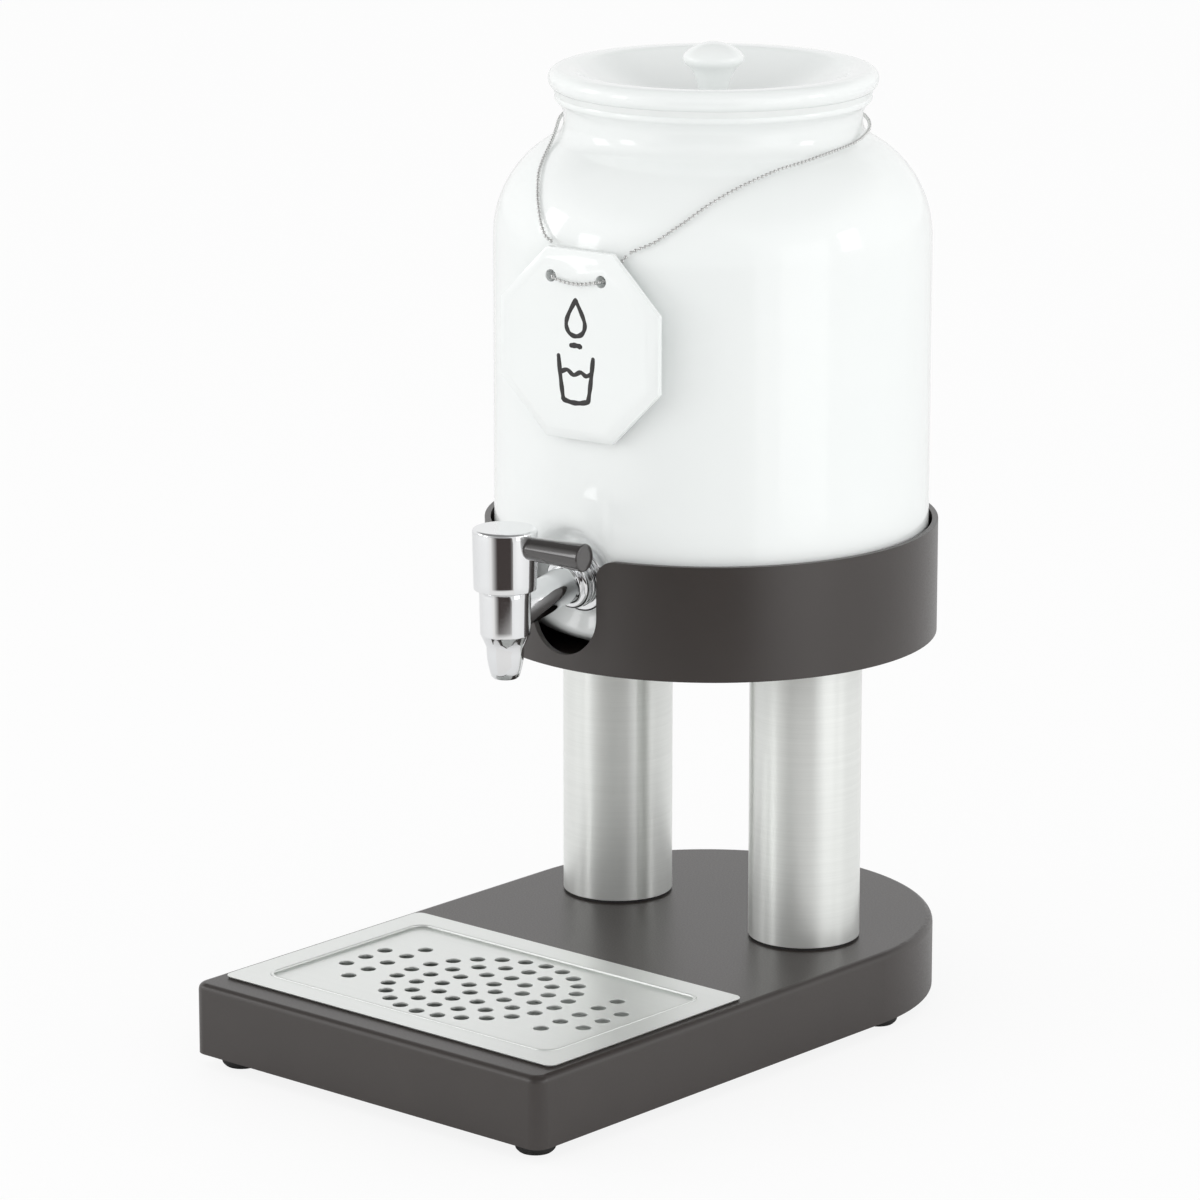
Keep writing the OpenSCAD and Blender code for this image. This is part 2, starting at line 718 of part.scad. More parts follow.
// Section of the knob on the lid
module knob_section() {
    stem_z = dish_z - dish_r;
    meet_x = knob_meet * knob_edge_x;
    meet_z = knob_dome_z + knob_meet * (knob_edge_z - knob_dome_z);
    intersection() {
        translate([0, knob_dome_z]) circle(r = knob_dome_r);
        polygon([[0, knob_edge_z], [knob_edge_x, knob_edge_z], [meet_x, meet_z], [meet_x, knob_top],
            [0, knob_top]]);
    }
    translate([knob_edge_x, knob_edge_z]) circle(r = knob_edge_r);
    translate([0, knob_edge_z - knob_edge_r]) square([knob_edge_x, knob_edge_r]);
    difference() {
        translate([0, stem_z - lid_wall / 2]) square([knob_edge_x, knob_edge_z - stem_z + lid_wall / 2]);
        translate([knob_waist_r + knob_flare_r, knob_edge_z - knob_edge_r - knob_flare_r])
            circle(r = knob_flare_r);
        translate([knob_waist_r, stem_z])
            square([knob_edge_x, knob_edge_z - knob_edge_r - knob_flare_r - stem_z]);
    }
}

// Porcelain lid: a dish with a rounded rim and a knob in its middle
module lid() color("#f4f5f3") {
    on_axis() rotate_extrude() {
        difference() {
            union() {
                intersection() {
                    translate([0, dish_z]) circle(r = dish_r + lid_wall);
                    square([lid_plug_r, lid_z]);
                }
                translate([0, lid_z]) square([lip_x, lip_r]);
                translate([lip_x, lid_z + lip_r]) circle(r = lip_r);
                translate([dish_lip_x, lid_z]) square([lip_flat, lid_rim]);
                intersection() {
                    translate([dish_lip_x, lid_z]) circle(r = lid_rim);
                    translate([0, lid_z]) square([dish_lip_x, lid_rim]);
                }
            }
            translate([0, dish_z]) circle(r = dish_r);
        }
        intersection() {
            knob_section();
            translate([0, mouth_z - neck_h]) square([lid_r, knob_top - mouth_z + neck_h]);
        }
    }
}

// Rubber washer behind the rosette
module outer_washer() color("#262525") {
    on_pipe() translate([0, 0, pad_place]) difference() {
        cylinder(d = washer_d, h = washer_t);
        translate([0, 0, -overrun]) cylinder(d = shank_d + 2 * fit, h = washer_t + 2 * overrun);
    }
}

// Chrome rosette, hollow behind for the washer
module rosette() color("#d6d8da") {
    on_pipe() translate([0, 0, pad_place]) difference() {
        rotate_extrude() {
            square([rosette_d / 2, rosette_t - rosette_edge_r]);
            square([rosette_d / 2 - rosette_edge_r, rosette_t]);
            translate([rosette_d / 2 - rosette_edge_r, rosette_t - rosette_edge_r]) circle(r = rosette_edge_r);
        }
        translate([0, 0, -overrun]) cylinder(d = washer_d + 2 * fit, h = washer_t + overrun);
        translate([0, 0, -overrun]) cylinder(d = shank_d + 2 * fit, h = rosette_t + 2 * overrun);
    }
}

// Hollow threaded shank through the wall of the jar
module tap_shank() color("#c9b27a") {
    on_pipe() difference() {
        union() {
            translate([0, 0, shank_end]) cylinder(d = shank_d, h = pad_to_collar - shank_end);
            translate([0, 0, pad_to_collar]) cylinder(d = spigot_d, h = spigot_len);
        }
        translate([0, 0, shank_end - overrun])
            cylinder(d = passage_d - 2 * drop_fit, h = pad_to_collar + spigot_len - shank_end + 2 * overrun);
    }
}

// Rubber washer inside the jar
module inner_washer() color("#262525") {
    on_pipe() translate([0, 0, washer_end]) difference() {
        cylinder(d = inner_washer_d, h = washer_t);
        translate([0, 0, -overrun]) cylinder(d = shank_d + 2 * fit, h = washer_t + 2 * overrun);
    }
}

// Six-sided nut inside the jar
module lock_nut() color("#c9b27a") {
    on_pipe() translate([0, 0, nut_end]) difference() {
        cylinder(d = nut_flats / cos(30), h = nut_t, $fn = 6);
        translate([0, 0, -overrun]) cylinder(d = shank_d + 2 * fit, h = nut_t + 2 * overrun);
    }
}

// Section of the barrel and its bullet-shaped nozzle
module barrel_section() {
    cone_r = cone_end_d / 2;
    polygon([[0, joint_rise], [barrel_d / 2, joint_rise], [barrel_d / 2 - barrel_taper, -barrel_drop],
        [cone_r, -barrel_drop - cone_drop], [0, -barrel_drop - cone_drop]]);
    intersection() {
        translate([cone_r - nozzle_round, -barrel_drop - cone_drop]) circle(r = nozzle_round);
        translate([0, -nozzle_drop]) square([cone_r, nozzle_drop - barrel_drop - cone_drop]);
    }
}

// Section of the rounded ring between the collar and the pipe
module ferrule_section() {
    square([ferrule_d / 2 - ferrule_edge_r, ferrule_t]);
    translate([0, ferrule_edge_r]) square([ferrule_d / 2, ferrule_t - 2 * ferrule_edge_r]);
    for (z = [ferrule_edge_r, ferrule_t - ferrule_edge_r])
        translate([ferrule_d / 2 - ferrule_edge_r, z]) circle(r = ferrule_edge_r);
}

// Chrome body: sloping pipe with its collar, barrel and nozzle
module tap_body() color("#d6d8da") {
    difference() {
        union() {
            on_head() rotate_extrude() barrel_section();
            on_pipe() translate([0, 0, pad_to_collar]) cylinder(d = collar_d, h = collar_t);
            on_pipe() translate([0, 0, ferrule_start]) rotate_extrude() ferrule_section();
            on_pipe() translate([0, 0, pipe_start])
                cylinder(d1 = pipe_d, d2 = pipe_d + pipe_flare, h = head_place - pipe_start);
        }
        on_head() {
            translate([0, 0, -plug_floor])
                cylinder(d = plug_d + 2 * run_fit, h = plug_floor + joint_rise + overrun);
            translate([0, 0, joint_rise - flange_t - face_gap])
                cylinder(d = flange_d + 2 * fit, h = flange_t + face_gap + overrun);
            translate([0, 0, -nozzle_drop - overrun]) cylinder(d = passage_d, h = nozzle_drop + overrun);
        }
        on_pipe() translate([0, 0, pad_to_collar - overrun])
            cylinder(d = spigot_d + 2 * fit, h = spigot_len + overrun);
        on_pipe() translate([0, 0, pad_to_collar]) cylinder(d = passage_d, h = head_place - pad_to_collar);
    }
}

// Ring that keeps the valve plug in the barrel
module bonnet_nut() color("#c9b27a") {
    on_head() translate([0, 0, joint_rise]) difference() {
        cylinder(d = bonnet_d, h = bonnet_h);
        translate([0, 0, -overrun]) cylinder(d = plug_d + 2 * run_fit, h = bonnet_h + 2 * overrun);
    }
}

// Turning plug: closed at rest, its port meets the pipe after a quarter turn
module valve_plug() color("#e3ded2") {
    tang_top = joint_rise + face_gap + cap_h - cap_roof - face_gap;
    on_head() difference() {
        union() {
            translate([0, 0, face_gap - plug_floor])
                cylinder(d = plug_d, h = plug_floor - face_gap + joint_rise + bonnet_h);
            translate([0, 0, joint_rise - flange_t - face_gap / 2]) cylinder(d = flange_d, h = flange_t);
            translate([-tang_flats / 2, -tang_flats / 2, joint_rise])
                cube([tang_flats, tang_flats, tang_top - joint_rise]);
        }
        translate([0, 0, -plug_floor]) cylinder(d = passage_d, h = plug_floor);
        rotate([0, -90, 0]) cylinder(d = passage_d, h = plug_d);
        for (z = [-lower_seal_drop, joint_rise + upper_seal_rise]) translate([0, 0, z])
            rotate_extrude() seal_groove();
        rotate([0, 0, lever_turn]) translate([0, 0, lever_level()]) rotate([0, 90, 0])
            cylinder(d = lever_spigot_d + 2 * fit, h = plug_d);
    }
}

// Height of the lever above the pipe axis
function lever_level() = joint_rise + face_gap + cap_h - lever_drop;

// Groove for a sealing ring in the valve plug
module seal_groove() {
    translate([plug_d / 2 - seal_cord_d - seal_land, -seal_cord_d / 2 - seal_land])
        square([seal_cord_d + 2 * seal_land, seal_cord_d + 2 * seal_land]);
}

// Sealing rings below the port and in the bonnet
module plug_seals() color("#262525") {
    on_head() for (z = [-lower_seal_drop, joint_rise + upper_seal_rise]) translate([0, 0, z])
        rotate_extrude() translate([plug_d / 2 - seal_cord_d / 2, 0]) circle(d = seal_cord_d);
}

// Chrome cap that turns with the lever
module tap_cap() color("#d6d8da") {
    cap_r = cap_d / 2;
    on_head() translate([0, 0, joint_rise + face_gap]) difference() {
        rotate_extrude() {
            polygon([[0, 0], [cap_r - cap_taper, 0], [cap_r, cap_h - cap_edge_r], [0, cap_h - cap_edge_r]]);
            translate([0, cap_h - cap_edge_r]) square([cap_r - cap_edge_r, cap_edge_r]);
            translate([cap_r - cap_edge_r, cap_h - cap_edge_r]) circle(r = cap_edge_r);
        }
        translate([0, 0, -overrun]) cylinder(d = bonnet_d + 2 * drop_fit, h = cap_cavity_h + overrun);
        translate([-tang_flats / 2 - tang_fit, -tang_flats / 2 - tang_fit, 0])
            cube([tang_flats + 2 * tang_fit, tang_flats + 2 * tang_fit, cap_h - cap_roof]);
        rotate([0, 0, lever_turn]) translate([0, 0, cap_h - lever_drop]) rotate([0, 90, 0])
            cylinder(d = lever_spigot_d + 2 * fit, h = cap_d);
        rotate([0, 0, lever_turn]) translate([cap_r - 2 * cap_taper, 0, cap_h - lever_drop]) rotate([0, 90, 0])
            cylinder(d = lever_root_d + 2 * fit, h = cap_d);
    }
}

// Round lever with the threaded end that locks the cap to the plug
module lever_bar() color("#2a2523") {
    root = cap_d / 2 - 2 * cap_taper;
    on_head() translate([0, 0, lever_level()]) rotate([0, 0, lever_turn]) rotate([0, 90, 0]) {
        translate([0, 0, tang_flats / 4]) cylinder(d = lever_spigot_d, h = root - tang_flats / 4);
        translate([0, 0, root]) rotate_extrude() {
            polygon([[0, 0], [lever_root_d / 2, 0], [lever_d / 2, lever_len - root - lever_edge_r],
                [lever_d / 2 - lever_edge_r, lever_len - root], [0, lever_len - root]]);
        }
    }
}

// Eight-sided porcelain tag with bevelled edges and two chain holes
module tag_plate() color("#f1f2f0") {
    on_tag() difference() {
        rotate([0, 0, 22.5]) cylinder(d = tag_size / cos(22.5), h = tag_t, $fn = 8);
        for (k = [0 : 7]) rotate([0, 0, 45 * k]) {
            translate([tag_size / 2 - tag_bevel_w, -tag_size / 2, tag_t])
                rotate([0, atan2(tag_bevel_h, tag_bevel_w), 0]) cube([tag_size, tag_size, tag_t]);
            translate([tag_size / 2 - tag_back_bevel, -tag_size / 2, 0])
                rotate([0, 45, 0]) cube([tag_back_bevel, tag_size, tag_size]);
        }
        for (side = [-1, 1]) translate([side * tag_hole_x, tag_hole_rise, -overrun])
            cylinder(d = tag_hole_d, h = tag_t + 2 * overrun);
    }
}

// Short run of chain through the holes of the tag
module tag_chain() color("#8f9193") {
    turned = [for (p = tag_route) [p[0], -p[1], p[2]]];
    on_axis() rotate([0, 0, tag_turn]) tube(curve_route(turned, tag_steps), chain_d);
}

// Chain from the tag round the neck of the jar
module neck_chain() color("#8f9193") {
    on_axis() tube(curve_route(neck_route, neck_steps), chain_d);
}

base_shell();
bottom_plate();
feet();
foot_screws();
drip_pan();
drip_grid();
column_gaskets();
column_left();
column_right();
column_plugs();
lower_bolts();
upper_bolts();
holder_ring();
jar_mat();
jar();
lid_seal();
lid();
outer_washer();
rosette();
tap_shank();
inner_washer();
lock_nut();
tap_body();
bonnet_nut();
valve_plug();
plug_seals();
tap_cap();
lever_bar();
tag_plate();
tag_chain();
neck_chain();
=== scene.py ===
import bpy
import bmesh
import math
from mathutils import Matrix, Vector


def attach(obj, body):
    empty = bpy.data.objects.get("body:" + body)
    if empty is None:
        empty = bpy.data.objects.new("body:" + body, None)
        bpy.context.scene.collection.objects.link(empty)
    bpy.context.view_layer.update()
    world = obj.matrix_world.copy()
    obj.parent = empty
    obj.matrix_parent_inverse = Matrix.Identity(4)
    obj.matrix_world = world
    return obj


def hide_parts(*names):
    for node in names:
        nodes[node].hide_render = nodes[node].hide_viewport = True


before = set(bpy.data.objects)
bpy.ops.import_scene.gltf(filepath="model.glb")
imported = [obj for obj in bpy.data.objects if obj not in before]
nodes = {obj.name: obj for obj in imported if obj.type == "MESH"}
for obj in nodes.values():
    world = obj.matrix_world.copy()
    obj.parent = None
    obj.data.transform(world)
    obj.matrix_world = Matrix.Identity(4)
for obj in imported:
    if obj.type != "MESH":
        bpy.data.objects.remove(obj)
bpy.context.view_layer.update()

scene = bpy.context.scene

# Sizes that the pieces share with the part's source, in millimetres and degrees
MM = 0.001
GRID_Y, GRID_TOP_Z = -83.5, 37.0
PANEL_X, PANEL_Y = 78.0, 47.0
JAR_Y = 60.5
JAR_R, JAR_WALL = 91.0, 6.0
JAR_FOOT_Z, BELLY_Z, JAR_BASE_R = 165.5, 167.0, 25.0
FOOT_IN_R, FOOT_OUT_R, FOOT_EDGE, FOOT_FLARE = 54.0, 60.0, 0.6, 0.8
SIDE_TOP_Z, SHOULDER_R, NECK_R, NECK_FILLET_R = 329.0, 45.0, 61.8, 9.0
NECK_H, MOUTH_R, BEAD_R, FLARE_R, MOUTH_EDGE = 11.7, 65.6, 2.0, 8.0, 1.5
LID_R, LID_RIM, DISH_DEPTH, LID_WALL, LIP_FLAT, LID_FIT = 68.2, 9.0, 20.0, 6.0, 2.6, 0.6
SEAL_T, SEAL_W = 1.0, 5.0
KNOB_RISE, KNOB_FOOT_R = 10.3, 14.5
PIPE_SLOPE, TAP_REACH, PAD_REACH, TAP_Z = 10.0, 129.0, 82.0, 198.3
ROSETTE_R, ROSETTE_T = 15.0, 4.0
CAP_LOW, CAP_TOP = 11.3, 36.5
TAG_TURN = math.radians(6)
TAG_FRONT, TAG_Z = 98.1, 297.5


# Camera at the photograph's angle

CAMERA_TURN, CAMERA_TILT, CAMERA_LENS = 41.178, 13.996, 177.9
CAMERA_PLACE = Vector((1.558622, -1.792150, 0.775717))


def make_camera():
    az, el = math.radians(CAMERA_TURN), math.radians(CAMERA_TILT)
    right = Vector((math.cos(az), math.sin(az), 0))
    up = Vector((-math.sin(el) * math.sin(az), math.sin(el) * math.cos(az), math.cos(el)))
    back = right.cross(up)
    data = bpy.data.cameras.new("photo_camera")
    data.sensor_width = 36
    data.sensor_fit = "HORIZONTAL"
    data.lens = CAMERA_LENS
    data.clip_start = 0.05
    data.clip_end = 60
    camera = bpy.data.objects.new("photo_camera", data)
    scene.collection.objects.link(camera)
    place = Matrix((right, up, back)).transposed().to_4x4()
    place.translation = CAMERA_PLACE
    camera.matrix_world = place
    scene.camera = camera


make_camera()


# Shader helpers

NOISE_LOW, NOISE_HIGH = 0.3, 0.7
LINE_LOW, LINE_HIGH, LINE_SHARE = 0.35, 0.65, 0.65
LINE_SMOOTHER, LINE_ROUGHER, LINE_DEPTH = 0.03, 0.04, 0.00002


class Shader:
    """Builds one node tree, for a material, a group or the world."""

    def __init__(self, tree):
        self.tree = tree

    def node(self, kind, **values):
        n = self.tree.nodes.new(kind)
        for key, value in values.items():
            setattr(n, key, value)
        return n

    def link(self, a, b):
        self.tree.links.new(a, b)

    def math(self, operation, a, b):
        n = self.node("ShaderNodeMath", operation=operation)
        for socket, value in zip(n.inputs, (a, b)):
            if isinstance(value, (int, float)):
                socket.default_value = value
            else:
                self.link(value, socket)
        return n.outputs[0]

    def remap(self, value, low, high, to_low, to_high):
        n = self.node("ShaderNodeMapRange")
        self.link(value, n.inputs[0])
        for i, v in enumerate((low, high, to_low, to_high)):
            n.inputs[i + 1].default_value = v
        return n.outputs[0]

    def mix(self, factor, a, b):
        n = self.node("ShaderNodeMix", data_type="RGBA")
        self.link(factor, n.inputs[0])
        for socket, colour in ((n.inputs[6], a), (n.inputs[7], b)):
            socket.default_value = (*colour, 1)
        return n.outputs[2]

    def towards(self, direction, aim):
        """How far a direction points the way of a fixed one."""
        n = self.node("ShaderNodeVectorMath", operation="DOT_PRODUCT")
        self.link(direction, n.inputs[0])
        n.inputs[1].default_value = aim
        return n.outputs["Value"]


def new_group(name, inputs, outputs):
    tree = bpy.data.node_groups.new(name, "ShaderNodeTree")
    for label, value in inputs:
        kind = "NodeSocketVector" if value is None else "NodeSocketFloat"
        socket = tree.interface.new_socket(name=label, in_out="INPUT", socket_type=kind)
        if value is not None:
            socket.default_value = value
    for label in outputs:
        tree.interface.new_socket(name=label, in_out="OUTPUT", socket_type="NodeSocketFloat")
    s = Shader(tree)
    return tree, s, s.node("NodeGroupInput"), s.node("NodeGroupOutput")


def grain_group():
    """Fine grain with a slow mottle, for coats, glazes and rubber."""
    tree, s, inp, out = new_group(
        "surface_grain", [("Place", None), ("Grain Scale", 900.0), ("Mottle Scale", 20.0)],
        ["Grain", "Mottle"])
    for label, scale, detail in (("Grain", "Grain Scale", 3), ("Mottle", "Mottle Scale", 2)):
        noise = s.node("ShaderNodeTexNoise")
        noise.inputs["Detail"].default_value = detail
        s.link(inp.outputs["Place"], noise.inputs["Vector"])
        s.link(inp.outputs[scale], noise.inputs["Scale"])
        s.link(noise.outputs["Fac"], out.inputs[label])
    return tree


def brushed_group():
    """Long fine scratches: noise that is stretched along the brushing."""
    tree, s, inp, out = new_group(
        "brushed_lines", [("Place", None), ("Line Scale", 1.0)], ["Lines", "Streaks"])
    place = s.node("ShaderNodeVectorMath", operation="SCALE")
    s.link(inp.outputs["Place"], place.inputs[0])
    s.link(inp.outputs["Line Scale"], place.inputs["Scale"])
    for label, scale, detail, rough in (("Lines", 1, 4, 0.7), ("Streaks", 0.17, 2, 0.5)):
        noise = s.node("ShaderNodeTexNoise")
        noise.inputs["Scale"].default_value = scale
        noise.inputs["Detail"].default_value = detail
        noise.inputs["Roughness"].default_value = rough
        s.link(place.outputs["Vector"], noise.inputs["Vector"])
        s.link(noise.outputs["Fac"], out.inputs[label])
    return tree


GRAIN = grain_group()
BRUSHED = brushed_group()


def new_material(name):
    material = bpy.data.materials.new(name)
    material.use_nodes = True
    return material, Shader(material.node_tree), material.node_tree.nodes["Principled BSDF"]


def grained(s, grain_scale, mottle_scale):
    place = s.node("ShaderNodeTexCoord").outputs["Object"]
    g = s.node("ShaderNodeGroup", node_tree=GRAIN)
    s.link(place, g.inputs["Place"])
    g.inputs["Grain Scale"].default_value = grain_scale
    g.inputs["Mottle Scale"].default_value = mottle_scale
    return g.outputs["Grain"], g.outputs["Mottle"]


def add_bump(s, bsdf, height, strength, distance):
    bump = s.node("ShaderNodeBump")
    bump.inputs["Strength"].default_value = strength
    bump.inputs["Distance"].default_value = distance
    s.link(height, bump.inputs["Height"])
    s.link(bump.outputs["Normal"], bsdf.inputs["Normal"])


def set_sockets(bsdf, values):
    for socket, value in values.items():
        bsdf.inputs[socket].default_value = value


def coated(name, dark, light, rough, grain, mottle, relief,
           metallic=0.0, spread=0.06, depth=0.00004, **sockets):
    """A finish of two near colours with grain in its roughness and relief."""
    material, s, bsdf = new_material(name)
    fine, slow = grained(s, grain, mottle)
    tone = s.remap(slow, NOISE_LOW, NOISE_HIGH, 0, 1)
    s.link(s.mix(tone, dark, light), bsdf.inputs["Base Color"])
    s.link(s.remap(fine, NOISE_LOW, NOISE_HIGH, rough - spread, rough + spread),
           bsdf.inputs["Roughness"])
    set_sockets(bsdf, {"Metallic": metallic, **sockets})
    add_bump(s, bsdf, fine, relief, depth)
    return material


def brushed(name, dark, light, rough, stretch, relief, **sockets):
    """Brushed metal: stretch is the scale along each axis, small along the brushing."""
    material, s, bsdf = new_material(name)
    mapping = s.node("ShaderNodeMapping")
    s.link(s.node("ShaderNodeTexCoord").outputs["Object"], mapping.inputs["Vector"])
    mapping.inputs["Scale"].default_value = stretch
    g = s.node("ShaderNodeGroup", node_tree=BRUSHED)
    s.link(mapping.outputs["Vector"], g.inputs["Place"])
    lines, streaks = g.outputs["Lines"], g.outputs["Streaks"]
    both = s.math("ADD", s.math("MULTIPLY", lines, LINE_SHARE),
                  s.math("MULTIPLY", streaks, 1 - LINE_SHARE))
    tone = s.remap(both, LINE_LOW, LINE_HIGH, 0, 1)
    s.link(s.mix(tone, dark, light), bsdf.inputs["Base Color"])
    s.link(s.remap(lines, NOISE_LOW, NOISE_HIGH, rough - LINE_SMOOTHER, rough + LINE_ROUGHER),
           bsdf.inputs["Roughness"])
    set_sockets(bsdf, sockets)
    add_bump(s, bsdf, lines, relief, LINE_DEPTH)
    return material, s, bsdf


# Finishes: two near colours, roughness, scales of grain and mottle, relief

def make_materials():
    m = {}
    m["porcelain"] = coated(
        "porcelain_glaze", (0.825, 0.85, 0.842), (0.845, 0.867, 0.858), 0.09, 260, 14, 0.03,
        spread=0.02, depth=0.0001,
        **{"IOR": 1.5, "Coat Roughness": 0.03, "Coat Weight": 0.3})
    m["paint"] = coated(
        "powder_coat", (0.0235, 0.0175, 0.015), (0.0275, 0.021, 0.018), 0.34, 1500, 25, 0.2,
        **{"Specular IOR Level": 0.75})
    m["sheet"] = coated(
        "plate_coat", (0.03, 0.028, 0.026), (0.036, 0.034, 0.032), 0.55, 1200, 30, 0.2)
    m["rubber"] = coated(
        "black_rubber", (0.014, 0.014, 0.014), (0.022, 0.021, 0.02), 0.62, 1800, 60, 0.25)
    m["silicone"] = coated(
        "seal_silicone", (0.77, 0.79, 0.78), (0.81, 0.83, 0.82), 0.42, 900, 60, 0.1)
    m["zinc"] = coated(
        "zinc_plate", (0.42, 0.43, 0.44), (0.52, 0.52, 0.52), 0.32, 1600, 90, 0.15, metallic=1.0)
    m["turned"] = coated(
        "turned_aluminium", (0.6, 0.6, 0.61), (0.68, 0.68, 0.69), 0.3, 1600, 70, 0.15,
        metallic=1.0)
    m["brass"] = coated(
        "turned_brass", (0.62, 0.45, 0.2), (0.72, 0.54, 0.27), 0.25, 1500, 80, 0.12,
        metallic=1.0)
    m["chrome"] = coated(
        "polished_chrome", (0.80, 0.81, 0.82), (0.86, 0.865, 0.87), 0.05, 1200, 30, 0.01,
        metallic=1.0, spread=0.015)
    m["grip"] = coated(
        "lever_plastic", (0.016, 0.013, 0.012), (0.021, 0.017, 0.016), 0.12, 1100, 70, 0.03,
        spread=0.02,
        **{"Specular IOR Level": 0.9, "Coat Roughness": 0.05, "Coat Weight": 0.7})
    m["bead"] = coated(
        "bead_chain", (0.66, 0.66, 0.65), (0.76, 0.76, 0.75), 0.26, 1400, 160, 0.1,
        metallic=0.85)
    m["valve"] = coated(
        "valve_plastic", (0.72, 0.69, 0.62), (0.77, 0.74, 0.68), 0.4, 1200, 50, 0.12)
    m["column"], s, bsdf = brushed(
        "column_steel", (0.81, 0.825, 0.80), (0.865, 0.88, 0.855), 0.32, (25, 25, 2600), 0.03,
        **{"Metallic": 0.78, "Anisotropic": 0.85, "Anisotropic Rotation": 0.25})
    tangent = s.node("ShaderNodeTangent", direction_type="RADIAL", axis="Z")
    s.link(tangent.outputs["Tangent"], bsdf.inputs["Tangent"])
    m["tray"] = brushed(
        "tray_steel", (0.875, 0.895, 0.875), (0.9, 0.92, 0.9), 0.34, (20, 2200, 20), 0.008,
        **{"Metallic": 0.75})[0]
    m["ink"] = coated(
        "marker_ink", (0.016, 0.015, 0.015), (0.03, 0.028, 0.028), 0.4, 1400, 120, 0.2)
    return m


M = make_materials()
FINISH = {
    "base_shell": "paint", "bottom_plate": "sheet", "feet": "rubber", "foot_screws": "zinc",
    "drip_pan": "tray", "drip_grid": "tray", "column_gaskets": "rubber",
    "column_left": "column", "column_right": "column", "column_plugs": "turned",
    "lower_bolts": "zinc", "upper_bolts": "zinc", "holder_ring": "paint", "jar_mat": "rubber",
    "jar": "porcelain", "lid_seal": "silicone", "lid": "porcelain", "outer_washer": "rubber",
    "rosette": "chrome", "tap_shank": "brass", "inner_washer": "rubber", "lock_nut": "brass",
    "tap_body": "chrome", "bonnet_nut": "brass", "valve_plug": "valve", "plug_seals": "rubber",
    "tap_cap": "chrome", "lever_bar": "grip", "tag_plate": "porcelain", "tag_chain": "bead",
    "neck_chain": "bead"}
for name, finish in FINISH.items():
    data = nodes[name].data
    data.materials.clear()
    data.materials.append(M[finish])


# Mesh helpers: everything is drawn in millimetres

JAR_STEPS, LID_STEPS, TAP_STEPS, LEVER_STEPS, BALL_STEPS, PIN_STEPS = 288, 192, 96, 72, 10, 6
GLAZE_SHARP, METAL_SHARP, CASTING_SHARP = 50, 40, 38
SAME_POINT, AXIS_R = 0.005, 0.001


def add_mesh(name, verts, faces, material, smooth_angle=None):
    mesh = bpy.data.meshes.new(name)
    mesh.from_pydata([v * MM for v in verts], [], faces)
    for polygon in mesh.polygons:
        polygon.use_smooth = True
    if smooth_angle is not None:
        mesh.set_sharp_from_angle(angle=math.radians(smooth_angle))
    mesh.materials.append(material)
    obj = bpy.data.objects.new(name, mesh)
    scene.collection.objects.link(obj)
    return obj


def stands_for(obj, node, body):
    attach(obj, body)
    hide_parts(node)
    return obj


def arc(x, z, r, start, end, steps):
    """Points of a round part of a profile, from one angle to another."""
    turns = [math.radians(start + (end - start) * i / steps) for i in range(steps + 1)]
    return [(x + r * math.cos(t), z + r * math.sin(t)) for t in turns]


def line(a, b, steps):
    return [(a[0] + (b[0] - a[0]) * i / steps, a[1] + (b[1] - a[1]) * i / steps)
            for i in range(steps + 1)]


def profile(*runs):
    """Joins runs of points and leaves out doubled ones."""
    points = []
    for run in runs:
        for q in run:
            if not points or math.dist(q, points[-1]) > SAME_POINT:
                points.append(q)
    return points


def lathe(points, place, segments, closed=False):
    """A profile of radius and height turned about the z axis of a place."""
    verts, faces, rings = [], [], []
    for r, h in points:
        count = segments if r > AXIS_R else 1
        rings.append(range(len(verts), len(verts) + count))
        for k in range(count):
            a = 2 * math.pi * k / segments
            verts.append(place @ Vector((r * math.cos(a), r * math.sin(a), h)))
    pairs = list(zip(rings, rings[1:]))
    if closed:
        pairs.append((rings[-1], rings[0]))
    for low, high in pairs:
        for k in range(max(len(low), len(high))):
            j = (k + 1) % segments
            ring = [low[k % len(low)], low[j % len(low)],
                    high[j % len(high)], high[k % len(high)]]
            faces.append([v for i, v in enumerate(ring) if v not in ring[:i]])
    return verts, faces


def joined(*solids):
    verts, faces = [], []
    for v, f in solids:
        faces += [[i + len(verts) for i in face] for face in f]
        verts += v
    return verts, faces


def smooth_points(points, steps):
    """Points on a smooth curve through the given ones, as in the part's source."""
    p = [Vector(q) for q in points]
    curve = []
    for i in range(len(p) - 1):
        a, b = p[max(i - 1, 0)], p[i]
        c, d = p[i + 1], p[min(i + 2, len(p) - 1)]
        for s in range(steps):
            t = s / steps
            curve.append(0.5 * (2 * b + (c - a) * t + (2 * a - 5 * b + 4 * c - d) * t * t
                                + (3 * b - a - 3 * c + d) * t * t * t))
    curve.append(p[-1])
    return curve


def smooth_least(a, b, k):
    """The smaller of two values, with a soft change over about k."""
    h = max(k - abs(a - b), 0) / k
    return min(a, b) - h * h * k / 4


# Ball chain: the neck's route is counted from the jar's axis, the tag's along the tag

